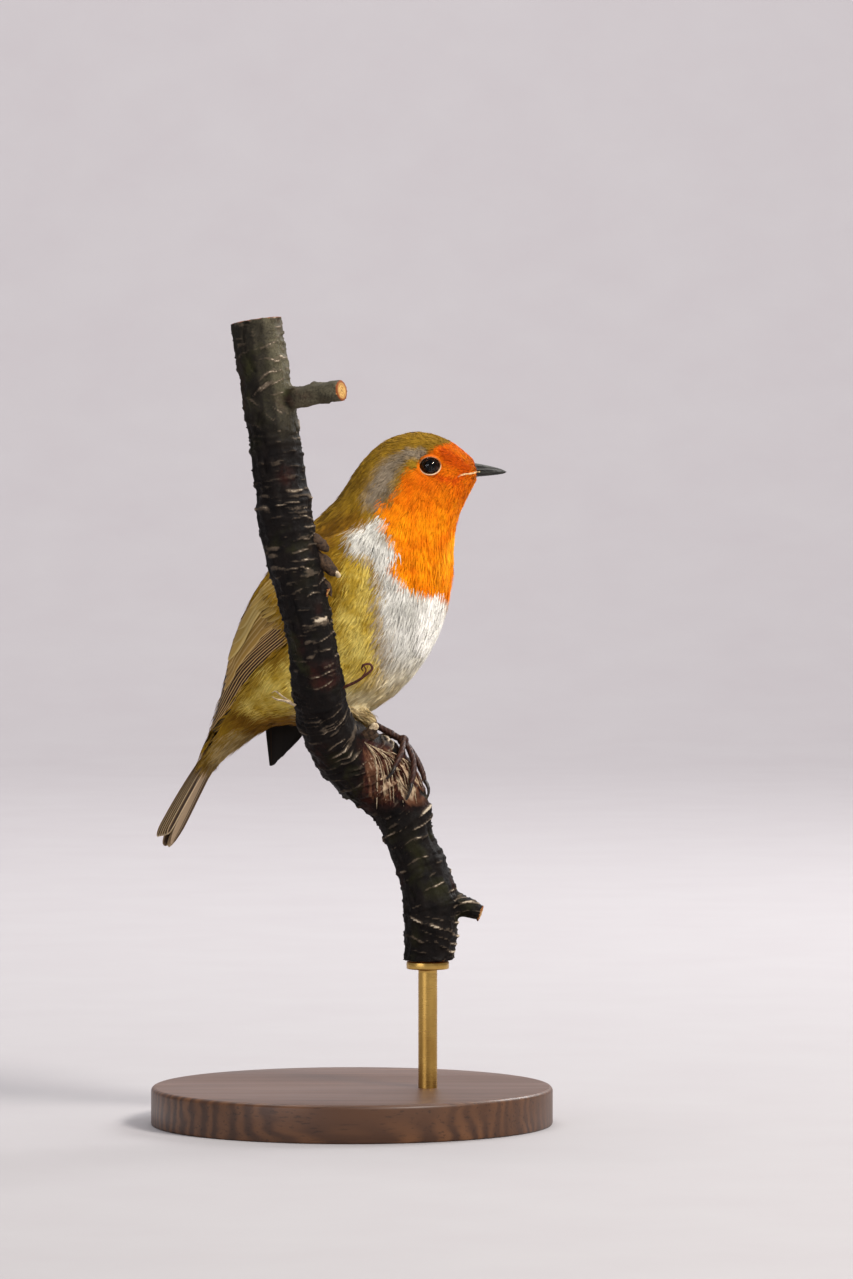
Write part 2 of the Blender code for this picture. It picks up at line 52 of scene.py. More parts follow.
# Back (x, z) and belly (x, z) of the bird from the tail coverts to the bill, in mm
BODY_LINES = np.array((
    (-40.2, 97.6, -35.6, 94.2),
    (-36.6, 104.4, -30.2, 98.9),
    (-33.6, 112.6, -20.6, 104.9),
    (-31.8, 121.6, -7.4, 105.4),
    (-29.4, 131.6, 6.0, 109.2),
    (-25.2, 140.8, 16.4, 118.4),
    (-18.8, 149.8, 23.2, 130.2),
    (-11.6, 157.4, 26.2, 142.8),
    (-5.2, 163.2, 26.6, 151.6),
    (-1.0, 168.8, 27.3, 157.8),
    (2.6, 174.6, 29.0, 162.4),
    (8.6, 180.2, 30.6, 165.6),
    (17.2, 182.6, 31.8, 168.0),
    (25.0, 180.6, 32.7, 169.4),
    (30.2, 176.9, 33.2, 170.3),
    (32.6, 174.7, 33.6, 171.0),
))
STATIONS = len(BODY_LINES) - 1
BODY_TURN = math.radians(15.0)      # the body is turned from the head's middle plane
TURN_FROM, TURN_OVER = 22.0, 10.0   # where the turn starts behind the face, and its length
HEAD_Y, NECK_X = 1.0, 17.0

EYE_CENTRE = (20.6, 173.8)
EYE_SPREAD, EYE_RADIUS = 7.9, 2.9
EYE_OPENING = (2.78, 2.34)          # half length and half height between the lids
LID_THICKNESS = 0.12
BESIDE = 4.0                        # further than this from the middle plane is the side of the head

BILL_BASE = np.array((31.0, 1.0, 172.4))
BILL_LENGTH, BILL_HALF_WIDTH, BILL_UPPER, BILL_LOWER, BILL_DROOP = 9.9, 2.1, 2.0, 1.85, 0.35

# How the coat grows by station: feather length, half width of a strand, depth and spacing in mm
GROWTH = {
    "station": (0, 2, 4, 6, 8, 10, 12, 13.5, 15),
    "length": (8.4, 8.2, 8.0, 7.2, 6.0, 4.6, 3.0, 2.1, 1.3),
    "width": (0.16, 0.16, 0.15, 0.14, 0.13, 0.11, 0.09, 0.075, 0.06),
    "depth": (1.2, 1.4, 1.5, 1.5, 1.3, 1.0, 0.75, 0.5, 0.35),
    "spacing": (0.86, 0.86, 0.82, 0.78, 0.70, 0.58, 0.44, 0.36, 0.30),
}

# Where the orange bib and face end behind: height, and x there, in mm
BIB_EDGE = np.array((
    (131.0, 25.6), (133.5, 24.2), (137.0, 23.4), (139.2, 22.6), (140.0, 16.4), (141.6, 13.4),
    (143.9, 11.4), (146.8, 10.0), (150.2, 11.6), (152.6, 11.0), (156.6, 8.6), (159.7, 7.4),
    (161.5, 6.8), (163.0, 8.9), (164.5, 10.7), (166.2, 12.1), (169.2, 12.3), (171.0, 12.9),
    (172.2, 15.4), (173.8, 17.2), (176.0, 18.8), (178.0, 21.2), (178.9, 24.6), (180.2, 28.0),
    (182.0, 36.0),
))
# Brushed areas of the other colours, as x, z and half width along each one, in mm
GREY_CHEEK_STRIPE = ((18.6, 177.0, 1.5), (14.0, 176.0, 2.2), (10.0, 172.4, 4.0), (8.0, 167.4, 5.0),
                     (6.0, 163.6, 4.0))
WHITE_SIDE = ((8.6, 157.4, 2.2), (5.0, 155.0, 3.6), (2.2, 152.2, 3.8), (7.0, 151.6, 4.6),
              (10.0, 147.0, 4.4), (11.8, 142.0, 6.0), (13.0, 136.0, 8.0), (15.0, 129.0, 9.8),
              (15.0, 122.0, 9.8), (12.0, 116.0, 7.0))
SNOW_BELLY = ((20.6, 138.0, 3.6), (19.8, 132.0, 4.4), (18.4, 126.0, 3.6))
GOLD_FLANK = ((1.0, 146.0, 4.2), (1.4, 138.0, 6.4), (0.6, 128.0, 6.8), (0.0, 119.0, 6.6),
              (-12.0, 118.0, 8.0), (-20.0, 114.0, 7.5), (-26.0, 107.0, 6.0))
BUFF_BELLY = ((18.0, 120.0, 9.0), (10.0, 112.0, 12.0), (0.0, 108.0, 9.0), (-14.0, 104.0, 6.0),
              (-25.0, 102.0, 6.0), (-32.0, 97.0, 6.0), (-37.0, 89.0, 5.0))
# Painted shade: darker brown at the vent under the wing and at the heels low on the belly
VENT_SHADE = ((-13.0, 105.0, 3.4), (-20.0, 106.0, 4.6), (-26.0, 105.0, 4.4), (-30.0, 107.0, 3.0))
HEEL_SHADE = ((-1.0, 108.6, 2.6), (4.0, 106.4, 3.4), (9.0, 102.8, 3.4))
BROWN_MANTLE = ((2.0, 158.5, 3.5), (-4.0, 155.6, 4.6), (-9.0, 151.0, 5.0))
EMBER_FACE = ((23.4, 177.2, 2.0), (26.6, 174.6, 3.4), (29.8, 172.6, 2.6), (26.2, 169.6, 2.2),
              (22.6, 170.2, 1.4))

# Each folded wing's wrist, middle and tip, and half its width along it, as its solid has them
WING_LINES = {
    "right": ((3.0, -14.0, 155.0), (-28.0, -3.0, 137.0), (-37.6, 12.4, 102.8)),
    "left": ((10.0, 20.6, 155.0), (-14.0, 27.0, 136.0), (-21.4, 20.0, 93.2)),
}
CAMBER, ROOT_DIP = 0.1, 0.6         # how much a vaned feather is arched, and sinks at its root
WING_CHORD = np.array((-0.8, 0.0, 0.6))     # from a wing's lower edge up to its upper one
WING_HALF_CHORD = 12.0
WING_OUTLINE = (0.30, 0.80, 0.98, 1.0, 0.92, 0.76, 0.54, 0.20)
# Where each row across a wing comes out from under the body feathers: across, and share along it
BARE_WING = np.array(((-1.0, 0.46), (-0.8, 0.40), (-0.5, 0.36), (0.0, 0.33), (0.5, 0.32), (1.0, 0.34)))

TAIL_BASE = np.array((-38.5, 15.6, 95.3))
TAIL_TIP = np.array((-48.9, 18.8, 73.0))
TAIL_ROLL = math.radians(14.0)
TAIL_EDGE = ((-34.2, 104.6, 0.9), (-38.4, 98.2, 1.6), (-43.0, 91.0, 2.4))   # bare on the right side
TAIL_HALF_WIDTHS = (4.2, 4.9, 5.6, 6.2, 6.5, 6.0)

HANDS = {"right": -1.0, "left": 1.0}    # which way along y each side is
HEELS = {"right": np.array((-9.0, -1.0, 114.0)), "left": np.array((-15.0, 12.0, 113.0))}
JOIN_SKIN, JOIN_COAT = 0.2, 0.3     # solids grow by this to join into one surface, which shrinks back
BODY_SOLIDS = ("head", "neck", "trunk", "thigh_left", "thigh_right")
MARKS = ("bib", "under", "upper")   # the three attributes that hold how much of each colour shows

BARK_KNOT = (-23.0, -31.5, 161.0)
BAND_GAP = 2.6                      # between the pale crescents across the bark, partly wear and partly painted highlight
ELBOW_HUB = (1.0, 0.0, 108.0)       # the fibres of the torn elbow fan out from here
YEAR_RING = 0.7                     # how much the branch has thickened in a year
BARB_GAP = 0.28                     # barbs are about 0.05 mm apart; drawn wider, so that they show

ROD_RADIUS, FLANGE_THICKNESS, BASE_BEVEL = 2.5, 2.0, 1.2

CAMERA_TARGET = Vector((0.01967, 0.0063, 0.1276))
CAMERA_RISE = math.radians(2.5)
CAMERA_DISTANCE = 2.2
VIEW_HEIGHT = 0.3377                # what the frame's long side takes in at the bird


# ---------------------------------------------------------------- small tools

def linear(code):
    """An sRGB hex colour as the linear values that a shader takes."""
    channels = [int(code[i:i + 2], 16) / 255 for i in (1, 3, 5)]
    return tuple(c / 12.92 if c <= 0.04045 else ((c + 0.055) / 1.055) ** 2.4 for c in channels) + (1.0,)


def add(tree, kind, feeds=(), out=0, **settings):
    """A new node with its settings, and its inputs fed by name or number with values or other outputs."""
    node = tree.nodes.new("ShaderNode" + kind)
    for key, value in settings.items():
        setattr(node, key, value)
    for key, value in dict(feeds).items():
        if isinstance(value, bpy.types.NodeSocket):
            tree.links.new(value, node.inputs[key])
        else:
            node.inputs[key].default_value = value
    return node.outputs[out]


def new_finish(name, sockets):
    """A material with its shader's plain settings made, its node tree and its shader."""
    finish = bpy.data.materials.new(name)
    finish.use_nodes = True
    shader = finish.node_tree.nodes["Principled BSDF"]
    for key, value in sockets.items():
        shader.inputs[key].default_value = value
    return finish, finish.node_tree, shader


def ramp(value, low, high):
    """0 below low, 1 above high and a soft rise between."""
    share = np.clip((value - low) / (high - low), 0, 1)
    return share * share * (3 - 2 * share)


def unit(vectors):
    """Each vector at a length of 1."""
    return vectors / np.maximum(np.linalg.norm(vectors, axis=-1, keepdims=True), 1e-9)


def dot(a, b):
    """The dot product of each pair, kept as a column."""
    return (a * b).sum(-1, keepdims=True)


def taper(count, shares, sizes):
    """Sizes at even steps along a line, from those at some shares of the way."""
    return np.interp(np.linspace(0, 1, count), shares, sizes)


def eased(line, rounds):
    """A line or grid drawn smoother along its first direction, with its ends kept."""
    for _ in range(rounds):
        line[1:-1] = (line[2:] + line[:-2] + 2 * line[1:-1]) / 4
    return line


def blend(grid, cell, part):
    """Values between the points of a grid, part of the way across each whole cell."""
    total = 0
    for corner in np.ndindex((2,) * cell.shape[-1]):
        weight = np.prod(np.where(corner, part, 1 - part), axis=-1)
        total = total + grid[tuple(np.moveaxis(cell + corner, -1, 0))] * weight[..., None]
    return total


def grid_quads(rows, columns, rows_meet=False, columns_meet=False):
    """The quads between the points of a grid, which may be closed to a ring either way."""
    index = np.arange(rows * columns).reshape(rows, columns)
    if rows_meet:
        index = np.concatenate((index, index[:1]))
    if columns_meet:
        index = np.concatenate((index, index[:, :1]), 1)
    return np.stack((index[:-1, :-1], index[:-1, 1:], index[1:, 1:], index[1:, :-1]), -1).reshape(-1, 4)


def box_of(node):
    """The low corner, high corner and middle of a CAD solid's box, in mm."""
    low, high = (np.array(corner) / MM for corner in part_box(node))
    return low, high, (low + high) / 2


def cloud(places, size, seed):
    """Smooth random values from -1 to 1 at places in mm, in lumps about size across."""
    shape = places.shape[:-1]
    where = places.reshape(-1, 3) / np.asarray(size, float) + 31.7 * (seed + 3)
    cell = np.floor(where).astype(np.int64)
    part = where - cell
    part = part * part * (3 - 2 * part)
    primes = np.array((73856093, 19349663, 83492791), np.int64)
    total = np.zeros(len(where))
    for corner in np.ndindex(2, 2, 2):
        key = ((cell + corner) * primes).sum(1).astype(np.uint64) & np.uint64(0xFFFFFFFF)
        for shift, factor in ((15, 2246822519), (13, 3266489917)):
            key = ((key ^ (key >> np.uint64(shift))) * np.uint64(factor)) & np.uint64(0xFFFFFFFF)
        value = (key ^ (key >> np.uint64(16))).astype(float) / 2 ** 31 - 1
        total += value * np.prod(np.where(corner, part, 1 - part), axis=1)
    return total.reshape(shape)


def new_thing(name, points, faces, finishes):
    """A smooth mesh from points in mm and groups of faces."""
    groups = [np.asarray(group) for group in faces if len(group)]
    counts = np.concatenate([np.full(len(group), group.shape[1]) for group in groups])
    corners = np.concatenate([group.ravel() for group in groups])
    mesh = bpy.data.meshes.new(name)
    mesh.vertices.add(len(points))
    mesh.vertices.foreach_set("co", (np.asarray(points, float) * MM).ravel())
    mesh.loops.add(len(corners))
    mesh.loops.foreach_set("vertex_index", corners.astype(np.int32))
    mesh.polygons.add(len(counts))
    mesh.polygons.foreach_set("loop_start", (np.cumsum(counts) - counts).astype(np.int32))
    mesh.update(calc_edges=True)
    mesh.polygons.foreach_set("use_smooth", np.full(len(counts), True))
    for finish in finishes:
        mesh.materials.append(finish)
    return placed(bpy.data.objects.new(name, mesh))


def placed(thing):
    """The object, now in the scene."""
    bpy.context.scene.collection.objects.link(thing)
    return thing


def new_piece(name, points, faces, finishes, stands_for=()):
    """A mesh piece that rides on the part and may stand for some of its solids."""
    piece = new_thing(name, points, faces, finishes)
    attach(piece, "root")
    if stands_for:
        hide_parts(*stands_for)
    return piece


def put(piece, name, values):
    """Gives each point of a piece a value, or a triple of values, that its material reads by name."""
    values = np.asarray(values, np.float32)
    triple = values.ndim == 2
    layer = piece.data.attributes.new(name, "FLOAT_VECTOR" if triple else "FLOAT", "POINT")
    layer.data.foreach_set("vector" if triple else "value", values.ravel())


def put_bake_map(piece, places):
    """The bake map, from a place in the unit square for each point."""
    corners = np.empty(len(piece.data.loops), np.int32)
    piece.data.loops.foreach_get("vertex_index", corners)
    layer = piece.data.uv_layers.new(name="OFBake")
    layer.uv.foreach_set("vector", np.asarray(places, np.float32)[corners].ravel())


def solid_tree(nodes):
    """A search tree over some CAD solids, in mm."""
    points, faces = [], []
    for node in nodes:
        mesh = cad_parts[node].data
        start = len(points)
        points += [v.co / MM for v in mesh.vertices]
        faces += [[start + i for i in p.vertices] for p in mesh.polygons]
    return BVHTree.FromPolygons(points, faces)


def point_tree(places):
    """A search tree over some places."""
    tree = KDTree(len(places))
    for i, place in enumerate(places):
        tree.insert(place, i)
    tree.balance()
    return tree


def refined(nodes, voxel, swell=0.0, rounds=4):
    """Points in mm and quads of one even, smooth, closed surface round some CAD solids."""
    joined = bmesh.new()
    for node in nodes:
        joined.from_mesh(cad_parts[node].data)
    bmesh.ops.remove_doubles(joined, verts=joined.verts, dist=1e-6)
    mesh = bpy.data.meshes.new("solids")
    joined.to_mesh(mesh)
    joined.free()
    thing = placed(bpy.data.objects.new("solids", mesh))
    if swell:
        puff = thing.modifiers.new("swell", "DISPLACE")
        puff.strength, puff.mid_level = swell * MM, 0.0
    remesh = thing.modifiers.new("remesh", "REMESH")
    remesh.mode, remesh.voxel_size = "VOXEL", voxel * MM
    even = thing.modifiers.new("even", "SMOOTH")
    even.factor, even.iterations = 0.5, rounds
    shaped = thing.evaluated_get(bpy.context.evaluated_depsgraph_get())
    result = shaped.to_mesh()
    points = np.empty(len(result.vertices) * 3)
    result.vertices.foreach_get("co", points)
    faces = np.array([p.vertices[:] for p in result.polygons])
    shaped.to_mesh_clear()
    bpy.data.objects.remove(thing)
    bpy.data.meshes.remove(mesh)
    return points.reshape(-1, 3) / MM, faces


def face_normals(points, faces):
    """Each quad's way out, as long as its area."""
    a, b, c, d = (points[faces[:, i]] for i in range(4))
    return np.cross(c - a, d - b) * 0.5


def outward(points, quads):
    """The quads of a closed or domed piece, turned to face away from its middle."""
    flow = (face_normals(points, quads) * (points[quads].mean(1) - points.mean(0))).sum()
    return quads if flow > 0 else quads[:, ::-1]


def point_normals(points, faces):
    """Each point's way out, from the quads round it."""
    total = np.zeros_like(points)
    normals = face_normals(points, faces)
    for corner in range(faces.shape[1]):
        np.add.at(total, faces[:, corner], normals)
    return unit(total)


class Surface:
    """Distance to a closed surface, kept on a grid so that many feather points are laid on it at once."""

    def __init__(self, points, faces, step, reach):
        tree = BVHTree.FromPolygons(points.tolist(), faces.tolist())
        self.low, self.step = points.min(0) - reach, step
        shape = np.ceil((points.max(0) + reach - self.low) / step).astype(int) + 1
        self.top = shape - 2
        heights = np.full(shape, float(reach))
        for cell in np.ndindex(*shape):
            place = Vector(self.low + np.array(cell) * step)
            near, normal, _, away = tree.find_nearest(place, reach)
            if near is not None:
                heights[cell] = math.copysign(away, (place - near).dot(normal))
        slopes = np.stack(np.gradient(heights, step), -1)
        self.grid = np.concatenate((heights[..., None], slopes), -1)

    def read(self, places):
        """Heights above the surface, and the way out from it."""
        where = (places.reshape(-1, 3) - self.low) / self.step
        cell = np.clip(where.astype(int), 0, self.top)
        total = blend(self.grid, cell, np.clip(where - cell, 0, 1)).reshape(places.shape[:-1] + (4,))
        height, out = total[..., :1], unit(total[..., 1:])
        for hand in (-1.0, 1.0):                      # the skin is drawn over the eyeballs
            from_eye = places - (EYE_CENTRE[0], HEAD_Y + hand * EYE_SPREAD, EYE_CENTRE[1])
            ball = np.linalg.norm(from_eye, axis=-1, keepdims=True) - EYE_RADIUS - LID_THICKNESS
            share = np.clip((height - ball) / 0.8 + 0.5, 0, 1)
            height = height - (height - ball) * share - 0.4 * share * (1 - share)
            out = unit(out + (unit(from_eye) - out) * share)
        return height, out

    def lift(self, places, heights):
        """Places moved straight out or in to the given heights, and the way out there."""
        for _ in range(2):
            now, out = self.read(places)
            places = places + out * (heights - now)
        return places, out


# ---------------------------------------------------------------- the lie of the coat

def turn_at(x):
    """How far the bird is turned from its head's middle plane there."""
    return BODY_TURN * np.clip((TURN_FROM - x) / TURN_OVER, 0, 1)


def side_view(places):
    """Each place as its distance along the bird's middle plane, off it to the left, and up."""
    x, y, z = np.moveaxis(places, -1, 0)
    turn = turn_at(x)
    off = (y - HEAD_Y) * np.cos(turn) - (NECK_X - x) * np.sin(turn)
    return x - off * np.sin(turn), off, z


def body_point(station, share):
    """The side view's place at a station and a share of the way from back to belly."""
    columns = [np.interp(station, np.arange(STATIONS + 1), BODY_LINES[:, i]) for i in range(4)]
    back, belly = np.stack(columns[:2], -1), np.stack(columns[2:], -1)
    return back + (belly - back) * share[..., None]


class Lie:
    """Which way the feathers lie, and where along the body a place is, read from a grid."""

    def __init__(self):
        stations, shares = np.meshgrid(np.linspace(0, STATIONS, 181), np.linspace(0, 1, 13), indexing="ij")
        spots = body_point(stations, shares).reshape(-1, 2)
        ahead = body_point(np.minimum(stations + 0.7, STATIONS), shares)
        behind = body_point(np.maximum(stations - 0.7, 0), shares)
        ways = unit(behind - ahead).reshape(-1, 2)
        self.low = np.array((-52.0, 86.0))
        across, up = np.meshgrid(np.arange(self.low[0], 42), np.arange(self.low[1], 190), indexing="ij")
        cells = np.stack((across, up), -1)
        best = np.array([np.argmin(((spots - cell) ** 2).sum(1)) for cell in cells.reshape(-1, 2)])
        rows = np.concatenate((ways[best], stations.reshape(-1, 1)[best], shares.reshape(-1, 1)[best]), 1)
        self.grid = rows.reshape(cells.shape[:2] + (4,))
        for _ in range(2):
            middle = self.grid[1:-1, 1:-1]
            sides = self.grid[2:, 1:-1] + self.grid[:-2, 1:-1] + self.grid[1:-1, 2:] + self.grid[1:-1, :-2]
            self.grid[1:-1, 1:-1] = (middle + sides) / 5

    def read(self, places):
        """The lie in space, the station, and the share from back to belly."""
        along, _, z = side_view(places)
        where = np.stack((along, z), -1) - self.low
        cell = np.clip(where.astype(int), 0, np.array(self.grid.shape[:2]) - 2)
        total = blend(self.grid, cell, np.clip(where - cell, 0, 1))
        turn = turn_at(places[..., 0])
        way = np.stack((total[..., 0] * np.cos(turn), -total[..., 0] * np.sin(turn), total[..., 1]), -1)
        from_bill = unit((places - BILL_BASE) * (0.0, 1.0, 1.0))
        near_bill = ramp(places[..., 0], 27.0, 33.0)[..., None]
        return unit(way + from_bill * near_bill * 0.9), total[..., 2], total[..., 3]

    def way(self, places):
        return self.read(places)[0]


def grown(station, what):
    """A measure of the coat at stations along the body."""
    return np.interp(station, GROWTH["station"], GROWTH[what])


def eye_distance(places):
    """Distance from the nearer eye's axis, where 1 is the edge of the opening between the lids."""
    x, _, z = np.moveaxis(places, -1, 0)
    return np.hypot((x - EYE_CENTRE[0]) / EYE_OPENING[0], (z - EYE_CENTRE[1]) / EYE_OPENING[1])


def eye_oval(size, turn, hand):
    """Places beside the head on ovals round an eye; those of size 1 are over the edge of its opening."""
    return np.stack((EYE_CENTRE[0] + EYE_OPENING[0] * size * np.cos(turn),
                     np.full(np.shape(size), HEAD_Y + hand * (EYE_SPREAD + 2.0)),
                     EYE_CENTRE[1] + EYE_OPENING[1] * size * np.sin(turn)), -1)


def beside_head(places):
    """Which places are on the sides of the head, where the eyes are."""
    return np.abs(places[..., 1] - HEAD_Y) > BESIDE


# ---------------------------------------------------------------- markings

def stroke(x, z, line):
    """1 on the middle of a brushed area and 0 at its edge, and below 0 outside."""
    best = np.full(x.shape, -9.0)
    for (x0, z0, w0), (x1, z1, w1) in zip(line, line[1:]):
        dx, dz = x1 - x0, z1 - z0
        share = np.clip(((x - x0) * dx + (z - z0) * dz) / (dx * dx + dz * dz), 0, 1)
        away = np.hypot(x - x0 - dx * share, z - z0 - dz * share)
        best = np.maximum(best, 1 - away / (w0 + (w1 - w0) * share))
    return best


def markings(places):
    """How much of each colour shows at places on the bird: three triples from 0 to 1."""
    along, off, z = side_view(places)
    x = along - np.abs(off) * np.sin(turn_at(places[..., 0]))
    stray = cloud(places, 2.4, 1) * 0.8 + cloud(places, 0.8, 2) * 0.5

    def brushed(line, ragged, low, high):
        """How much of a brushed area's colour shows, with its edge made ragged."""
        return ramp(stroke(x, z, line) + stray * ragged, low, high)

    orange = ramp(x - np.interp(z, *BIB_EDGE.T) + stray, -0.5, 0.5)
    cheek = 0.6 * ramp(z + stray * 2.0, 158.0, 168.0)     # deeper than the breast
    ember = np.maximum(brushed(EMBER_FACE, 0.12, 0.0, 0.7), cheek)
    # painted highlight: a brighter yellow-orange along the front edge of the throat, on the side facing the
    # light
    throat_edge_highlight = ramp(x - (33.6 - (171.0 - z) * 0.5), -1.8, 0.4) * ramp(z, 140.0, 152.0)
    white = ramp(z, 110.0, 127.0) * brushed(WHITE_SIDE, 0.10, -0.05, 0.55)
    snow = brushed(SNOW_BELLY, 0.16, -0.1, 0.5)
    grey = 0.9 * brushed(GREY_CHEEK_STRIPE, 0.2, 0.0, 0.75)
    gold = brushed(GOLD_FLANK, 0.18, 0.0, 0.5)
    buff = brushed(BUFF_BELLY, 0.16, 0.0, 0.6) * (1 - 0.55 * ramp(-x, 14.0, 22.0))
    # the mantle is the bird's own brown; the vent and heel areas are painted shade
    mantle, vent_shade, heel = (brushed(line, 0.2, 0.0, 0.6) for line in (BROWN_MANTLE, VENT_SHADE, HEEL_SHADE))
    brown = np.maximum(np.maximum(mantle, vent_shade), 0.5 * heel)
    return (np.stack((orange, ember, throat_edge_highlight), -1), np.stack((np.maximum(white, snow), snow, grey), -1),
            np.stack((gold, buff, brown), -1))


def put_marks(piece, places, chosen=slice(None)):
    """Gives the points of a piece the markings of some places, chosen for each point."""
    for name, values in zip(MARKS, markings(places)):
        put(piece, name, values[chosen])


# ---------------------------------------------------------------- finishes

COLOUR = {"data_type": "RGBA", "out": 2}
SHADE = {"data_type": "RGBA", "out": 2, "blend_type": "MULTIPLY"}
ALL_THREE = slice(0, 3)


def speckle(tree, size, detail=3.0, roughness=0.55, stretch=(1.0, 1.0, 1.0)):
    """Random grain with lumps about size mm across, drawn out along an axis by a stretch below 1."""
    place = add(tree, "TexCoord", out="Object")
    place = add(tree, "Mapping", {0: place, 3: stretch})
    return add(tree, "TexNoise", {"Vector": place, "Scale": 0.5 / (size * MM), "Detail": detail,
                                  "Roughness": roughness})


def finish_with(tree, shader, colour, relief=None, strength=0.3, height=0.05, roughness=None):
    """Feeds the shader its colour, the relief that bends its light, height in mm, and its roughness."""
    tree.links.new(colour, shader.inputs["Base Color"])
    if relief:
        bump = add(tree, "Bump", {"Strength": strength, "Distance": height * MM, "Height": relief})
        tree.links.new(bump, shader.inputs["Normal"])
    if roughness:
        tree.links.new(roughness, shader.inputs["Roughness"])


def read_triple(tree, name):
    """The three values of an attribute of the piece."""
    layer = add(tree, "Attribute", out="Vector", attribute_name=name)
    return add(tree, "SeparateXYZ", {0: layer}, out=ALL_THREE)


def painted(tree, colour, *layers):
    """A colour with others laid over it in turn, each one where its value rises from low to high."""
    for value, low, high, over in layers:
        share = add(tree, "MapRange", {0: value, 1: low, 2: high})
        colour = add(tree, "Mix", {0: share, 6: colour, 7: linear(over)}, **COLOUR)
    return colour


def grained(name, sockets, grain, low, dark, light):
    """A finish in two tones of random grain: its parts, the grain, the light tone's share, the colour."""
    finish, tree, shader = new_finish(name, sockets)
    lumps = speckle(tree, *grain)
    share = add(tree, "MapRange", {0: lumps, 1: low, 2: 0.7})
    base = add(tree, "Mix", {0: share, 6: linear(dark), 7: linear(light)}, **COLOUR)
    return finish, tree, shader, lumps, share, base


def soft_plumage():
    """Body plumage: loose barbs with a matt, silky surface, so that edges look soft and tips glow."""
    finish, tree, shader = new_finish("body_plumage", {
        "Roughness": 0.7, "Specular IOR Level": 0.06, "Sheen Weight": 0.02, "Sheen Roughness": 0.5})
    bib, under, upper, barb = (read_triple(tree, name) for name in MARKS + ("barb",))
    mottle = add(tree, "MapRange", {0: speckle(tree, 2.2), 1: 0.35, 2: 0.65})
    flame = add(tree, "Mix", {0: mottle, 6: linear("#ea7c03"), 7: linear("#f69608")}, **COLOUR)
    for share, colour in ((bib[1], "#cc5102"), (bib[2], "#ffae18")):     # ember face, and the painted highlight along the front edge of the throat
        flame = add(tree, "Mix", {0: share, 6: flame, 7: linear(colour)}, **COLOUR)
    coat = None
    for share, dark, light in (
            (1.0, "#87651a", "#9e7a20"),          # olive brown all over, and on it in this order:
            (upper[0], "#bd9c36", "#e6d070"),     # golden flank
            (upper[1], "#c9b27c", "#f0e2b8"),     # buff belly
            (upper[2], "#6c4a10", "#946a1a"),     # brown mantle, and painted shade at the vent and heel
            (under[2], "#746755", "#948878"),     # grey stripe beside the face
            (under[0], "#c9c7be", "#e2e0d8")):    # white side
        own = add(tree, "Mix", {0: mottle, 6: linear(dark), 7: linear(light)}, **COLOUR)
        coat = add(tree, "Mix", {0: share, 6: coat, 7: own}, **COLOUR) if coat else own
    for share, own in ((under[1], linear("#fffdf6")), (bib[0], flame)):  # snow white belly, orange bib
        coat = add(tree, "Mix", {0: share, 6: coat, 7: own}, **COLOUR)
    # painted shade: each strand darker towards its root, as if shaded by the feathers over it, and partly for
    # the greyer down there
    root_shade_and_tone = add(tree, "MapRange", {0: barb[0], 1: 0.0, 2: 0.5, 3: 0.62, 4: 1.0})
    for own, least in ((barb[1], 0.86), (barb[2], 0.82)):                # of each tuft and each strand
        tone = add(tree, "MapRange", {0: own, 3: least, 4: 1.14})
        root_shade_and_tone = add(tree, "Math", {0: root_shade_and_tone, 1: tone}, operation="MULTIPLY")
    coat = add(tree, "Mix", {0: 1.0, 6: coat, 7: root_shade_and_tone}, **SHADE)
    finish_with(tree, shader, coat, speckle(tree, 0.16), 0.3, 0.08)
    return finish


def vaned(name, outer, middle, inner, fringe, fringe_from):
    """Stiff vaned feathers: closed webs of fine barbs on a dark shaft, with a paler fringe on the edges."""
    finish, tree, shader = new_finish(name, {
        "Roughness": 0.55, "Specular IOR Level": 0.2, "Sheen Weight": 0.03, "Sheen Roughness": 0.4})
    across, along, tone = read_triple(tree, "vane")     # across from -1 to 1, along from 0 to 1
    off_shaft, travelled, fringed = read_triple(tree, "vane_size")     # the first two in mm
    edge = add(tree, "Math", {0: across}, operation="ABSOLUTE")
    web = painted(tree, linear(outer), (across, -0.45, -0.05, middle), (across, 0.15, 0.8, inner))
    tip = add(tree, "MapRange", {0: along, 1: 0.965, 2: 1.0})
    rim = add(tree, "MapRange", {0: edge, 1: fringe_from, 2: fringe_from + 0.1})
    rim = add(tree, "Math", {0: rim, 1: tip}, operation="MAXIMUM")
    rim = add(tree, "Math", {0: rim, 1: fringed}, operation="MULTIPLY")
    web = add(tree, "Mix", {0: rim, 6: web, 7: linear(fringe)}, **COLOUR)
    slant = add(tree, "Math", {0: off_shaft, 1: -0.9, 2: travelled}, operation="MULTIPLY_ADD")
    slant = add(tree, "Math", {0: slant, 1: math.tau / BARB_GAP}, operation="MULTIPLY")
    barbs = add(tree, "Math", {0: slant}, operation="SINE")
    barb_shade = add(tree, "MapRange", {0: barbs, 1: -1.0, 2: 1.0, 3: 0.93, 4: 1.03})
    own_shade = add(tree, "MapRange", {0: tone, 3: 0.80, 4: 1.16})
    for shade in (barb_shade, own_shade):
        web = add(tree, "Mix", {0: 1.0, 6: web, 7: shade}, **SHADE)
    shaft = add(tree, "MapRange", {0: edge, 1: 0.03, 2: 0.08})
    web = add(tree, "Mix", {0: shaft, 6: linear("#2a1a0c"), 7: web}, **COLOUR)
    finish_with(tree, shader, web, barbs, 0.2, 0.03)
    return finish


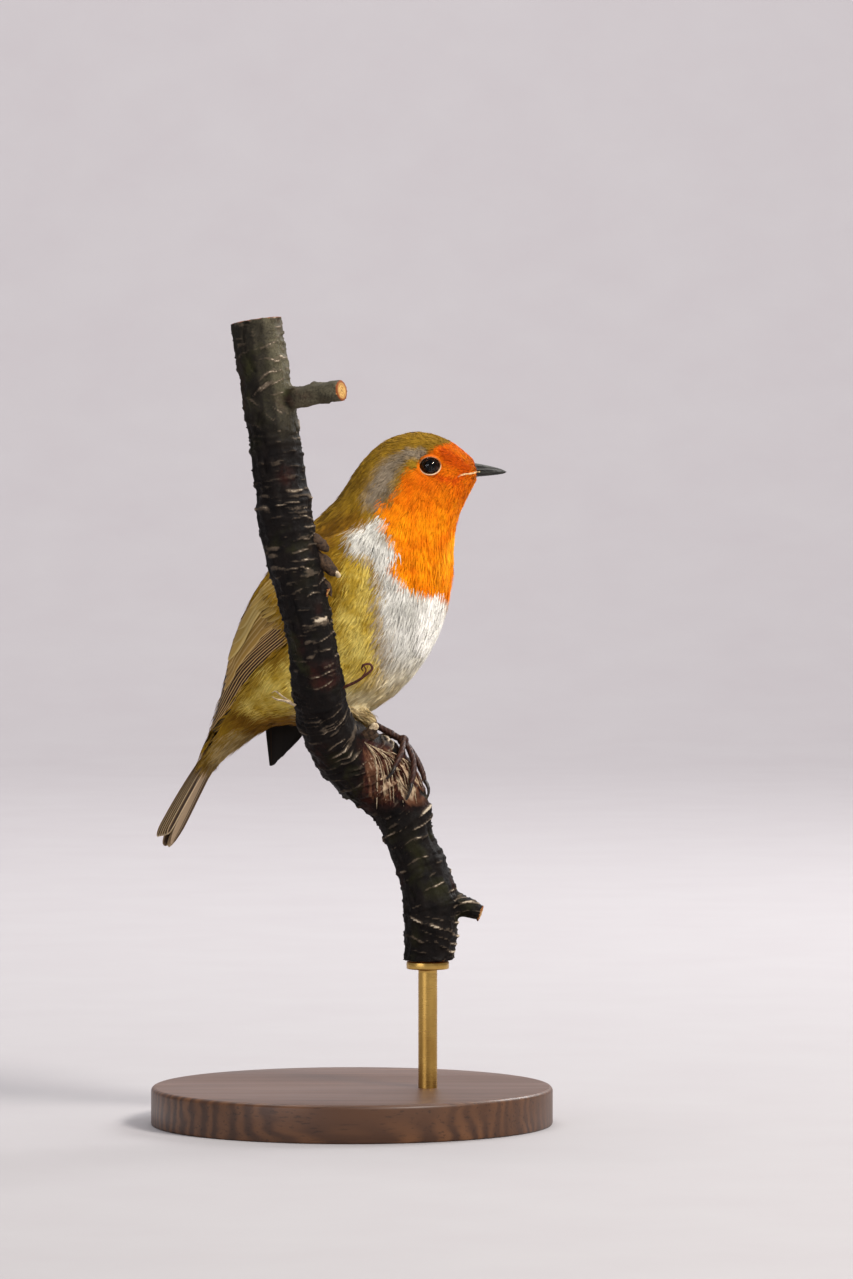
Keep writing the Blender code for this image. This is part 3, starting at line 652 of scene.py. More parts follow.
def iris_finish():
    """A robin's iris: very dark brown, wet and fibrous, round a black pupil."""
    finish, tree, shader, _, _, fibre = grained(
        "dark_brown_iris", {"Roughness": 0.6, "Specular IOR Level": 0.0}, (0.12,), 0.3, "#120904", "#2c180b")
    ring = add(tree, "Attribute", out="Fac", attribute_name="from_pole")
    base = add(tree, "Mix", {0: add(tree, "MapRange", {0: ring, 1: 1.3, 2: 1.45}), 6: linear("#020202"),
                             7: fibre}, **COLOUR)
    base = painted(tree, base, (ring, 2.1, 2.4, "#060403"))
    finish_with(tree, shader, base)
    return finish


def cornea_finish():
    """The clear wet dome over the eye, which gives the sharp highlight."""
    finish, tree, shader = new_finish("clear_cornea", {
        "Base Color": linear("#ffffff"), "Roughness": 0.02, "IOR": 1.336, "Specular IOR Level": 0.35,
        "Transmission Weight": 1.0})
    film = add(tree, "Bump", {"Strength": 0.02, "Distance": 0.05 * MM, "Height": speckle(tree, 1.0, 1.0)})
    tree.links.new(film, shader.inputs["Normal"])
    return finish


def horn(name, dark, light, roughness, size):
    """Keratin horn: dense, slightly polished, with faint growth streaks along it."""
    finish, tree, shader, streak, share, base = grained(
        name, {"Roughness": roughness, "IOR": 1.55, "Specular IOR Level": 0.28, "Coat Weight": 0.05,
               "Coat Roughness": 0.3}, (size, 4.0, 0.6, (0.25, 1.0, 1.0)), 0.35, dark, light)
    # painted highlight: a pale grey-green along the top ridge of the bill, from values that the bill halves
    # carry
    ridge = add(tree, "Attribute", out="Fac", attribute_name="wear_and_highlight")
    ridge = add(tree, "Math", {0: ridge, 1: share}, operation="MULTIPLY")
    base = add(tree, "Mix", {0: ridge, 6: base, 7: linear("#6c7066")}, **COLOUR)
    wear_and_highlight = add(tree, "MapRange", {0: streak, 1: 0.3, 2: 0.7, 3: roughness - 0.08, 4: roughness + 0.14})
    finish_with(tree, shader, base, streak, 0.25, 0.04, wear_and_highlight)
    return finish


def bare_skin(name, dark, light, size):
    """Bare skin of the lids and gape: soft, faintly moist, with fine papillae, paler below the eye."""
    finish, tree, shader = new_finish(name, {"Roughness": 0.5, "Subsurface Weight": 0.15,
                                             "Subsurface Scale": 0.3 * MM, "Specular IOR Level": 0.25})
    bead = speckle(tree, size, 2.0)
    pale = add(tree, "Attribute", out="Fac", attribute_name="pale")
    share = add(tree, "MapRange", {0: bead, 1: 0.3, 2: 0.7, 3: 0.6, 4: 1.0})
    share = add(tree, "Math", {0: share, 1: pale}, operation="MULTIPLY")
    base = add(tree, "Mix", {0: share, 6: linear(dark), 7: linear(light)}, **COLOUR)
    finish_with(tree, shader, base, bead, 0.5, 0.05)
    return finish


def scaly_leg():
    """Leg and toe scutes: thin dark brown horn plates with paler seams between them."""
    finish, tree, shader, _, _, base = grained(
        "leg_scutes", {"Roughness": 0.5, "Specular IOR Level": 0.25}, (0.4,), 0.3, "#1c0c09", "#3a1d14")
    seam = add(tree, "Attribute", out="Fac", attribute_name="seam")
    seam = add(tree, "Math", {0: seam, 1: 0.6}, operation="MULTIPLY")
    base = add(tree, "Mix", {0: seam, 6: base, 7: linear("#5e4032")}, **COLOUR)
    finish_with(tree, shader, base, speckle(tree, 0.1), 0.4, 0.05)
    return finish


def living_bark():
    """Thin bark of a live branch: nearly black and damp, with pale crests (partly wear, partly painted
    highlight), algae and red peel.
    """
    finish, tree, shader, patch, _, base = grained(
        "dark_bark", {"Roughness": 0.72, "Specular IOR Level": 0.12}, (1.6, 4.0, 0.6), 0.3, "#050303",
        "#130d0a")
    crest_and_highlight, peel, lichen = read_triple(tree, "relief")
    strips = add(tree, "Attribute", out="Fac", attribute_name="strips")
    dust_and_light = add(tree, "Attribute", out="Fac", attribute_name="dust_and_light")
    fine = speckle(tree, 0.28, 4.0, 0.6)
    red = add(tree, "MapRange", {0: patch, 1: 0.38, 2: 0.62})
    algae = add(tree, "MapRange", {0: speckle(tree, 4.0), 1: 0.5, 2: 0.68})
    patch_grain = add(tree, "MapRange", {0: fine, 1: 0.34, 2: 0.62, 3: 0.35, 4: 0.85})
    # the grey patches on the upper branch are partly dust and partly painted light where it faces the lamp
    for here, share, colour in ((peel, red, "#34130d"), (algae, lichen, "#26260f"), (dust_and_light, patch_grain, "#6a6450")):
        both = add(tree, "Math", {0: here, 1: share}, operation="MULTIPLY")
        base = add(tree, "Mix", {0: both, 6: base, 7: linear(colour)}, **COLOUR)
    crest_and_highlight = add(tree, "Math", {0: fine, 1: 0.5, 2: crest_and_highlight}, operation="MULTIPLY_ADD")
    # the pale crest colours are partly worn bark and partly painted highlight on the crescents facing the
    # light
    base = painted(tree, base, (crest_and_highlight, 0.62, 1.05, "#5c5043"), (crest_and_highlight, 1.0, 1.25, "#b9ab95"),
                   (strips, 0.25, 0.55, "#5a3a28"), (strips, 0.6, 0.95, "#b8a184"))
    rough = add(tree, "MapRange", {0: fine, 1: 0.3, 2: 0.7, 3: 0.5, 4: 0.82})
    finish_with(tree, shader, base, fine, 0.7, 0.2, rough)
    return finish


def cut_wood():
    """A sawn end of green wood: pale and fibrous with rings, browned towards the bark."""
    finish, tree, shader = new_finish("sawn_end_grain", {"Roughness": 0.75, "Specular IOR Level": 0.2})
    from_pith, to_bark, _ = read_triple(tree, "ring")     # in mm, and as a share of the way
    wave = add(tree, "Math", {0: from_pith, 1: math.tau / YEAR_RING}, operation="MULTIPLY")
    wave = add(tree, "MapRange", {0: add(tree, "Math", {0: wave}, operation="SINE"), 1: -0.4, 2: 1.0})
    fibre = speckle(tree, 0.3, 4.0)
    base = add(tree, "Mix", {0: wave, 6: linear("#b98c46"), 7: linear("#8c5f2c")}, **COLOUR)
    base = painted(tree, base, (fibre, 0.35, 0.7, "#cda765"), (to_bark, 0.55, 0.86, "#7c3f1c"),
                   (from_pith, 0.5, 0.1, "#5d3818"))
    finish_with(tree, shader, base, fibre, 0.6, 0.15)
    return finish


def peeled_strip(name, dark, light):
    """Dry curls of peeled bark: papery and fibrous, paler than the bark below."""
    finish, tree, shader, fibre, _, base = grained(
        name, {"Roughness": 0.72, "Specular IOR Level": 0.2}, (0.4, 4.0, 0.6), 0.3, dark, light)
    finish_with(tree, shader, base, fibre, 0.6, 0.1)
    return finish


def oiled_walnut():
    """Turned walnut with an oil finish: long grain lines, small dark pores and a soft shine."""
    finish, tree, shader = new_finish("oiled_walnut", {"Roughness": 0.42, "Specular IOR Level": 0.4,
                                                       "Coat Weight": 0.15, "Coat Roughness": 0.3})
    place = add(tree, "TexCoord", out="Object")
    bend = add(tree, "Mapping", {0: place, 3: (0.12, 1.0, 1.0)})
    sweep = add(tree, "TexNoise", {"Vector": bend, "Scale": 60.0, "Detail": 3.0})
    lines = add(tree, "TexWave", {"Vector": bend, "Scale": 95.0, "Distortion": 7.0, "Detail": 3.0,
                                  "Detail Scale": 1.2}, out="Fac", bands_direction="Y")
    base = painted(tree, linear("#3c2416"), (lines, 0.1, 0.95, "#6a4529"), (sweep, 0.35, 0.7, "#4d301c"))
    pores = speckle(tree, 0.35, 2.0, 0.5, (0.08, 1.0, 1.0))
    dark = add(tree, "MapRange", {0: pores, 1: 0.3, 2: 0.42, 3: 0.55, 4: 1.0})
    base = add(tree, "Mix", {0: 1.0, 6: base, 7: dark}, **SHADE)
    rough = add(tree, "MapRange", {0: sweep, 1: 0.3, 2: 0.7, 3: 0.36, 4: 0.52})
    finish_with(tree, shader, base, pores, 0.25, 0.1, rough)
    return finish


def brushed_brass():
    """Lacquered brass turned on a lathe: fine rings round the rod and a warm, broad highlight."""
    finish, tree, shader, _, _, base = grained(
        "brushed_brass", {"Metallic": 1.0, "Roughness": 0.3}, (6.0,), 0.35, "#c9a45a", "#a98343")
    rings = speckle(tree, 0.17, 3.0, 0.6, (0.05, 0.05, 1.0))
    rough = add(tree, "MapRange", {0: rings, 1: 0.3, 2: 0.7, 3: 0.22, 4: 0.42})
    finish_with(tree, shader, base, rings, 0.15, 0.02, rough)
    return finish


def pale_floor():
    """A matt, pale paper sweep."""
    finish, tree, shader = new_finish("pale_paper", {"Roughness": 0.85, "Specular IOR Level": 0.1})
    base = add(tree, "Mix", {0: speckle(tree, 20.0), 6: linear("#a7a3a5"), 7: linear("#acaaab")}, **COLOUR)
    finish_with(tree, shader, base)
    return finish


# ---------------------------------------------------------------- feathers

def draw_tufts(surface, roots, way_of, shape, rng):
    """Loose body feathers: every tuft is a fan of flat strands that runs over the body from its root.

    shape holds, for each tuft, its length, half width of a strand, depth, spread, rise at the tip and
    turn; way_of gives the lie at any place. Returns points, quads, triangles and each point's tuft,
    strand, share along and side.
    """
    strands, joints = shape["strands"], shape["joints"]
    count = len(roots)
    fan = np.linspace(-1, 1, strands) + rng.uniform(-0.5, 0.5, (count, strands)) / strands
    length = shape["length"][:, None] * (1 - 0.22 * fan ** 2) * rng.uniform(0.8, 1.08, (count, strands))
    wobble = rng.normal(0, 0.09, (count, strands)) + shape["turn"][:, None]
    rise = shape["rise"][:, None] + rng.normal(0, 0.12, (count, strands)) * shape["depth"][:, None]
    here = np.repeat(roots[:, None], strands, 1)
    _, out = surface.read(here)
    way = way_of(here)
    side = unit(np.cross(out, way))
    here = here + side * (fan * shape["spread"][:, None])[..., None] * 0.5
    line, outs = [here], [out]
    for joint in range(1, joints):
        share = joint / (joints - 1)
        way = way_of(here)
        way = unit(way - out * dot(way, out))
        side = np.cross(out, way)
        lean = fan * shape["open"] * (1 - 1.25 * share) + wobble
        step = way * np.cos(lean)[..., None] + side * np.sin(lean)[..., None]
        here = here + step * (length / (joints - 1))[..., None]
        cover = min(share * 2.2, 1.0)
        height = -shape["depth"][:, None] * (1 - cover) + rise * share ** 1.5
        here, out = surface.lift(here, height[..., None])
        here = part_round_eyes(here)
        line.append(here)
        outs.append(out)
    line, outs = np.stack(line, 2), np.stack(outs, 2)
    along = unit(np.gradient(line, axis=2))
    roll = rng.normal(0, 0.35, (count, strands))[..., None, None]
    across = unit(np.cross(outs, along))
    across = across * np.cos(roll) + outs * np.sin(roll)
    half = taper(joints, (0, 0.25, 0.6, 1), (0.75, 1.0, 0.8, 0.12))[:, None]
    half = shape["width"][:, None, None, None] * half * rng.uniform(0.7, 1.25, (count, strands, 1, 1))
    left, right = line - across * half, line + across * half
    body = np.stack((left[:, :, :-1], right[:, :, :-1]), 3).reshape(count * strands, -1, 3)
    points = np.concatenate((body, line[:, :, -1:].reshape(-1, 1, 3)), 1)
    each = points.shape[1]
    start = np.arange(count * strands)[:, None] * each
    quads = [start + np.array((2 * j, 2 * j + 1, 2 * j + 3, 2 * j + 2)) for j in range(joints - 2)]
    tips = start + np.array((each - 3, each - 2, each - 1))
    shares = np.append(np.repeat(np.arange(joints - 1) / (joints - 1), 2), 1.0)
    sides = np.append(np.tile((-1.0, 1.0), joints - 1), 0.0)
    facts = {
        "tuft": np.repeat(np.arange(count), strands * each),
        "strand": np.repeat(np.arange(count * strands), each),
        "share": np.tile(shares, count * strands),
        "side": np.tile(sides, count * strands),
        "fan": np.repeat(fan.ravel(), each),
    }
    return points.reshape(-1, 3), np.concatenate(quads), tips, facts


def part_round_eyes(places):
    """Moves feather points out of the opening between the lids."""
    away = eye_distance(places)
    clear = 1.07
    push = np.where((away < clear) & beside_head(places), clear / np.maximum(away, 0.2), 1.0)
    moved = places.copy()
    for axis, centre in zip((0, 2), EYE_CENTRE):
        moved[..., axis] = centre + (places[..., axis] - centre) * push
    return moved


def scatter(points, faces, spacing, rng):
    """Places spread at random over a surface, none nearer to another than spacing gives there."""
    area = np.linalg.norm(face_normals(points, faces), axis=1)
    middle = points[faces].mean(1)
    wanted = area / spacing(middle) ** 2 * 3.2
    tries = np.repeat(np.arange(len(faces)), rng.poisson(wanted))
    rng.shuffle(tries)
    u, v = rng.uniform(0, 1, (2, len(tries), 1))
    a, b, c, d = (points[faces[tries, i]] for i in range(4))
    places = (a * (1 - u) + b * u) * (1 - v) + (d * (1 - u) + c * u) * v
    gaps = spacing(places)
    tree = point_tree(places)
    kept = np.ones(len(places), bool)
    for i, place in enumerate(places):
        if kept[i]:
            for _, j, _ in tree.find_range(place, gaps[i]):
                if j > i:
                    kept[j] = False
    return places[kept]


def unwrap(places, lie):
    """Each place on the body's own unwrap: its station, and the angle round the body."""
    _, station, share = lie.read(places)
    _, off, _ = side_view(places)
    angle = np.arctan2(off, (share - 0.5) * 20)
    return np.stack((0.02 + 0.96 * station / STATIONS, 0.5 + angle / math.tau * 0.96), -1)


def lay_coat(name, surface, lie, roots, way_of, shape, finish, rng):
    """Draws one area of the coat and gives it its markings and its bake map."""
    points, quads, tips, facts = draw_tufts(surface, roots, way_of, shape, rng)
    piece = new_piece(name, points, (quads, tips), (finish,))
    put_marks(piece, roots + way_of(roots) * shape["length"][:, None] * 0.6, facts["tuft"])
    tone = np.clip(0.5 + 0.3 * cloud(roots, 3.0, 5) + rng.normal(0, 0.22, len(roots)), 0, 1)
    thread = rng.uniform(0, 1, facts["strand"].max() + 1)
    put(piece, "barb", np.stack((facts["share"], tone[facts["tuft"]], thread[facts["strand"]]), -1))
    own = np.stack((facts["share"] * 2 - 1, facts["fan"] * 0.8 + facts["side"] * 0.1), -1)
    put_bake_map(piece, unwrap(roots, lie)[facts["tuft"]] + 0.0014 * own)


def wing_shown(places, wings):
    """How far a place on a wing is inside the part that the body feathers leave bare, in mm."""
    shown = np.full(len(places), -9.0)
    for _, shares, columns, grid in wings:
        tree = point_tree(grid.reshape(-1, 3))
        for i, place in enumerate(places):
            _, index, away = tree.find(place)
            if away < 2.4:
                share, column = shares[index // len(columns)], columns[index % len(columns)]
                back = share - np.interp(column, BARE_WING[:, 0], BARE_WING[:, 1])
                shown[i] = back * 60
    return shown


def round_eyes(surface, rng):
    """Roots of the smallest feathers, in rings on the lids round both eyes."""
    roots = []
    for hand in (-1.0, 1.0):
        for ring in np.arange(1.10, 1.56, 0.11):
            count = int(math.tau * ring * sum(EYE_OPENING) / 2 / 0.30)
            turn = np.linspace(0, math.tau, count, endpoint=False) + rng.normal(0, 0.03, count)
            size = ring + rng.normal(0, 0.02, count)
            roots.append(eye_oval(size, turn, hand))
    return slide_out(surface, np.concatenate(roots), 0.0)


def slide_out(surface, places, height):
    """Places moved sideways only, until they are at a height over the surface."""
    places = places.copy()
    side = np.sign(places[..., 1] - HEAD_Y)
    for _ in range(12):
        now, _ = surface.read(places)
        places[..., 1] += side * (height - now[..., 0]) * 0.8
    return places


def dress_body(dressed, dressed_faces, surface, lie, wings, finish):
    """The loose feathers of the head and body, in areas, and over the wings where they tuck in."""
    rng = np.random.default_rng(11)

    def spacing(places):
        """How far apart the roots are, closest round the eyes."""
        _, station, _ = lie.read(places)
        near_eye = ramp(eye_distance(places), 1.0, 3.0)
        return grown(station, "spacing") * (0.72 + 0.28 * near_eye)

    roots = scatter(dressed, dressed_faces, spacing, rng)
    away = {}
    for part, nodes in (("thigh", BODY_SOLIDS[3:]), ("body", BODY_SOLIDS[:3]), ("tail", ("tail",))):
        solids = solid_tree(nodes)
        away[part] = np.array([solids.find_nearest(Vector(root))[3] for root in roots])
    on_thigh = away["thigh"] < away["body"] - 0.3
    from_bill = np.linalg.norm((roots - BILL_BASE) * (0.0, 1.0, 1.2), axis=1)
    blocked = (eye_distance(roots) < 1.5) & beside_head(roots)
    blocked |= (roots[:, 0] > 32.0) & (from_bill < 2.2)
    shown = wing_shown(roots, wings)
    blocked |= (shown > 0) | (away["tail"] < away["body"])
    blocked |= (stroke(roots[:, 0], roots[:, 2], TAIL_EDGE) > 0) & (roots[:, 1] < TAIL_BASE[1])
    roots, on_thigh = roots[~blocked], on_thigh[~blocked]
    over_wing = ramp(shown[~blocked], -8.5, -3.0)
    lashes = round_eyes(surface, rng)
    roots, on_thigh = np.concatenate((roots, lashes)), np.append(on_thigh, np.zeros(len(lashes), bool))
    over_wing = np.append(over_wing, np.zeros(len(lashes)))
    _, station, share = lie.read(roots)
    areas = {
        "coat_thighs": on_thigh,
        "coat_face": (station > 11.4) & (share > 0.36),
        "coat_crown": station > 10.4,
        "coat_throat": (station > 8.2) & (share > 0.5),
        "coat_nape": station > 8.2,
        "coat_breast": (station > 5.4) & (share > 0.5),
        "coat_mantle": station > 5.4,
        "coat_belly": (station > 2.6) & (share > 0.55),
        "coat_back": station > 2.6,
        "coat_rump": share < 0.5,
        "coat_vent": share >= 0.5,
    }
    left = np.zeros(len(roots), bool)
    for number, (name, inside) in enumerate(areas.items()):
        chosen = inside & ~left
        left |= chosen
        here, where = roots[chosen], station[chosen]
        area_rng = np.random.default_rng(100 + number)
        near_eye = ramp(eye_distance(here), 1.0, 3.4)
        near_eye = np.where(where > 11, near_eye, 1.0)
        along, _, up = side_view(here)
        fluff = ramp(stroke(along, up, GOLD_FLANK), -0.2, 0.5) * (where < 4)
        depth = grown(where, "depth")
        size = grown(where, "length") * (0.5 + 0.5 * near_eye) * area_rng.uniform(0.85, 1.15, len(here))
        small = name in ("coat_face", "coat_crown")
        shape = {
            "strands": 7 if small else 9,
            "joints": 4 if small else 5,
            "open": 0.46,
            "length": size * (1 + 0.25 * fluff - 0.2 * ramp(1.6 - where, 0.0, 1.6)),
            "width": grown(where, "width"),
            "depth": depth,
            "spread": size * 0.18,
            "rise": depth * area_rng.normal(0.02, 0.16, len(here)) + fluff * 0.5 + over_wing[chosen] * 0.7,
            "turn": area_rng.normal(0.0, 0.12, len(here)) + 0.16 * cloud(here, 6.0, 9),
        }
        way_of = lie.way
        if name == "coat_thighs":
            shape["length"] = area_rng.uniform(3.6, 5.4, len(here))
            shape["rise"] = shape["rise"] + 0.5
            way_of = thigh_ways()
        here = here - surface.read(here)[1] * shape["depth"][:, None]
        lay_coat(name, surface, lie, here, way_of, shape, finish, area_rng)


def thigh_ways():
    """The lie of the thigh feathers: from each heel down to its foot."""
    palms = {side: unit(box_of(f"tarsus_{side}")[2] - heel) for side, heel in HEELS.items()}

    def way_of(places):
        from_left, from_right = (np.linalg.norm(places - HEELS[side], axis=-1) for side in ("left", "right"))
        return np.where((from_left < from_right)[..., None], palms["left"], palms["right"])

    return way_of


# ---------------------------------------------------------------- skin

def make_skin(points, faces, lie, finish):
    """One skin under the feathers of the head, neck, trunk and thighs, with sockets for the eyes."""
    normals = point_normals(points, faces)
    _, station, _ = lie.read(points)
    skin = points - normals * grown(station, "depth")[:, None]
    away = eye_distance(points)
    beside = beside_head(points)
    sink = np.where(beside, 1 - ramp(away, 0.92, 1.12), 0.0)
    skin[:, 1] -= np.sign(points[:, 1] - HEAD_Y) * sink * 2.6
    fold = np.where(beside, np.exp(-((away - 1.45) / 0.16) ** 2), 0.0)   # the soft fold round the lids
    skin += normals * (fold * 0.22)[:, None]
    piece = new_piece("skin", skin, (faces,), (finish,), BODY_SOLIDS)
    colour_skin(piece, points, lie)


# ---------------------------------------------------------------- vaned feathers

class Vanes:
    """Collects vaned feathers that lie in layers on a sheet, and makes one piece of them."""

    def __init__(self, sheet, seed):
        self.sheet, self.rng = sheet, np.random.default_rng(seed)
        self.points, self.faces, self.vane, self.size, self.cells, self.total = [], [], [], [], [], 0

    def feather(self, root, bow, tip, outer, inner, layer, fringe=1.0, tip_lift=0.0, point=0.75, flip=1.0,
                tilt=0.22):
        """One feather from root through bow to tip, in shares along and across the sheet.

        outer and inner are the webs' widths in mm; layer is its height over the sheet in mm, and tilt
        raises its outer web over the feather below and tucks the inner one under the feather above.
        point is where its end starts to round off, and flip says which side the outer web is on.
        """
        rows, columns = 22, np.array((-1.0, -0.86, -0.6, -0.3, -0.06, 0.06, 0.3, 0.6, 0.86, 1.0))
        share = 1 - (1 - np.linspace(0, 1, rows)) ** 1.7
        t = share[:, None]
        root, bow, tip = (np.array(place, float) for place in (root, bow, tip))
        line = root * (1 - t) ** 2 + (2 * bow - (root + tip) / 2) * 2 * t * (1 - t) + tip * t ** 2
        place, normal = self.sheet(line)
        along = unit(np.gradient(place, axis=0))
        across = unit(np.cross(along, normal)) * flip
        width = np.minimum(1.0, 0.25 + 1.1 * share / 0.28)
        round_off = np.clip((share - point) / (1 - point), 0, 1)
        width = width * np.sqrt(np.maximum(1 - round_off ** 2, 0.0))
        fray = 1 - np.abs(self.rng.normal(0, 0.012, (rows, len(columns)))) * (np.abs(columns) > 0.9)
        offset = width[:, None] * (np.where(columns < 0, outer, inner) * columns) * fray
        step = 0.02                                   # to find which shares lead straight across
        slopes = np.stack([(self.sheet(line + way)[0] - place) / step for way in ((step, 0), (0, step))], -1)
        shift = np.einsum("rij,rj->ri", np.linalg.pinv(slopes), across)
        spots = line[:, None] + shift[:, None] * offset[..., None]
        points, normals = self.sheet(spots.reshape(-1, 2))
        rise = (layer + (CAMBER * (1 - columns ** 2) - tilt * columns) * width[:, None] + tip_lift * t ** 3
                - ROOT_DIP * (1 - t) ** 4)
        self.points.append(points + normals * rise.reshape(-1, 1))
        quads = grid_quads(rows, len(columns)) + self.total
        self.faces.append(quads if flip > 0 else quads[:, ::-1])
        wide, far = np.meshgrid(columns, share)
        tone, fringed = np.full_like(wide, self.rng.uniform(0, 1)), np.full_like(wide, fringe)
        travelled = far * np.linalg.norm(np.diff(place, axis=0), axis=1).sum()
        self.vane.append(np.stack((wide, far, tone), -1).reshape(-1, 3))
        self.size.append(np.stack((np.abs(offset), travelled, fringed), -1).reshape(-1, 3))
        self.cells.append(np.stack((wide * 0.46 + 0.5, far * 0.92 + 0.04), -1).reshape(-1, 2))
        self.total += rows * len(columns)

    def make(self, name, finish, slot, stands_for=()):
        """The piece; on its bake map each feather has a cell of its own."""
        piece = new_piece(name, np.concatenate(self.points), (np.concatenate(self.faces),), (finish,),
                          stands_for)
        put(piece, "vane", np.concatenate(self.vane))
        put(piece, "vane_size", np.concatenate(self.size))
        side = math.ceil(math.sqrt(len(self.cells)))
        maps = [(cell + (i % side, i // side)) / side for i, cell in enumerate(self.cells)]
        put_bake_map(piece, np.concatenate(maps))


def bilinear(grid, first, second):
    """A reader of a grid of vectors over two ranges, which runs on straight beyond its edges."""
    def read(spots):
        where = [(spots[..., i] - ends[0]) / (ends[-1] - ends[0]) * (grid.shape[i] - 1)
                 for i, ends in enumerate((first, second))]
        where = np.stack(where, -1)
        cell = np.clip(np.floor(where).astype(int), 0, np.array(grid.shape[:2]) - 2)
        return blend(grid, cell, np.clip(where - cell, -1.0, 2.0))
    return read


def wing_sheet(side, lie):
    """The outer face of a folded wing's solid, as places and ways out over shares along and across it."""
    wrist, bow, tip = (np.array(point) for point in WING_LINES[side])
    shares, columns = np.linspace(0.03, 0.98, 27), np.linspace(-0.9, 0.9, 13)
    tree = solid_tree([f"wing_{side}"])
    grid = np.zeros((len(shares), len(columns), 3))
    for i, share in enumerate(shares):
        centre = wrist * (1 - share) ** 2 + bow * 2 * share * (1 - share) + tip * share ** 2
        half = WING_HALF_CHORD * np.interp(share * (len(WING_OUTLINE) - 1), range(len(WING_OUTLINE)),
                                           WING_OUTLINE)
        for j, column in enumerate(columns):
            flat = centre + WING_CHORD * half * column
            _, station, _ = lie.read(flat)
            x, z = body_point(station, np.array(0.5))
            heart = np.array((x, HEAD_Y + (NECK_X - x) * math.tan(turn_at(x)), z))
            way = unit(flat - heart)
            hit = tree.ray_cast(Vector(heart + way * 60), Vector(-way))[0]
            if hit is None or (Vector(flat) - hit).length > 14:
                hit = tree.find_nearest(Vector(flat + way * 4))[0]
            grid[i, j] = hit
    for _ in range(2):
        eased(grid, 1)
        eased(grid.swapaxes(0, 1), 1)
    normals = unit(np.cross(*np.gradient(grid, axis=(0, 1))))
    normals *= np.sign(normals[..., 1:2].mean() * HANDS[side])
    place, way = (bilinear(values, shares, columns) for values in (grid, normals))
    return lambda spots: (place(spots), unit(way(spots))), shares, columns, grid


def make_wing(side, sheet, finishes):
    """A folded wing: flight feathers stacked towards its lower edge, with the rows of coverts over them."""
    right = side == "right"
    own = {"flip": 1.0 if right else -1.0}

    def stack(seed):
        """An empty stack of feathers with draws of its own for each wing."""
        return Vanes(sheet, seed if right else seed + 1)

    def finished(vanes, name, finish, *stands_for):
        """Makes one piece of a stack."""
        vanes.make(f"{name}_{side}", finishes[finish], "wing_feathers", stands_for)

    secondaries = stack(21)
    for i in range(6):
        low = 0.34 - 0.165 * i
        secondaries.feather((0.26, low + 0.06), (0.5, low), (0.70 + 0.025 * i, low + 0.14 + 0.03 * i),
                            outer=2.2, inner=4.2, layer=-0.12 - 0.05 * i, **own)
    finished(secondaries, "secondaries", "flight", f"wing_{side}")
    primaries = stack(25)                             # the innermost on top
    for i, reach in enumerate((0.82, 0.86, 0.89, 0.92, 0.95, 0.98, 1.0, 0.99, 0.95)):
        low = -0.50 - 0.052 * i
        end = (reach, 0.50 - 0.13 * i) if right else (reach - 0.035, 0.80 - 0.10 * i)
        primaries.feather((0.28, low + 0.10), (0.62, low - 0.02), end, outer=1.0, inner=4.4,
                          layer=-0.40 - 0.05 * i, point=0.84, tilt=0.16, **own)
    finished(primaries, "primaries", "primary")
    short = stack(29)
    for i in range(6):
        low = -0.52 - 0.07 * i
        short.feather((0.20, low + 0.05), (0.38, low), (0.52 - 0.015 * i, low + 0.04), outer=1.0, inner=2.0,
                      layer=-0.26 - 0.03 * i, fringe=0.9, tilt=0.16, **own)
    finished(short, "primary_coverts", "flight")
    lining_in_painted_shade = stack(27)                                # painted shade: near-black undersides, seen from the bird's belly
    for i in range(4):
        lining_in_painted_shade.feather((0.40, 0.4 - 0.3 * i), (0.70, 0.6 - 0.36 * i), (1.0 - 0.02 * i, 0.75 - 0.42 * i),
                       outer=3.0, inner=3.2, layer=-1.5 + 0.08 * i, fringe=0.2, point=0.86, tilt=0.05, **own)
    finished(lining_in_painted_shade, "wing_linings_in_painted_shade", "lining_in_painted_shade")
    coverts = stack(23)
    for i in range(3):                                # tertials, the innermost on top
        coverts.feather((0.30, 0.72 - 0.12 * i), (0.46, 0.72 - 0.17 * i), (0.60 + 0.06 * i, 0.64 - 0.16 * i),
                        outer=3.2, inner=3.6, layer=0.24 - 0.09 * i, **own)
    rows = ((0.29, 0.48, 0.14, -0.62, 0.76), (0.27, 0.41, 0.34, -0.70, 0.84))
    count, half = 11, 1.9
    for start, end, layer, low, high in rows:         # greater and median coverts
        for i in range(count):
            column = low + (high - low) * i / (count - 1) + coverts.rng.normal(0, 0.015)
            shift = coverts.rng.normal(0, 0.008) + 0.03 * column
            coverts.feather((start + shift, column * 0.92), ((start + end) / 2 + shift, column),
                            (end + shift, column * 0.97), outer=half, inner=half * 1.25,
                            layer=layer + 0.012 * i, fringe=0.55, tip_lift=0.06, point=0.45, tilt=0.3, **own)
    finished(coverts, "wing_coverts", "covert")


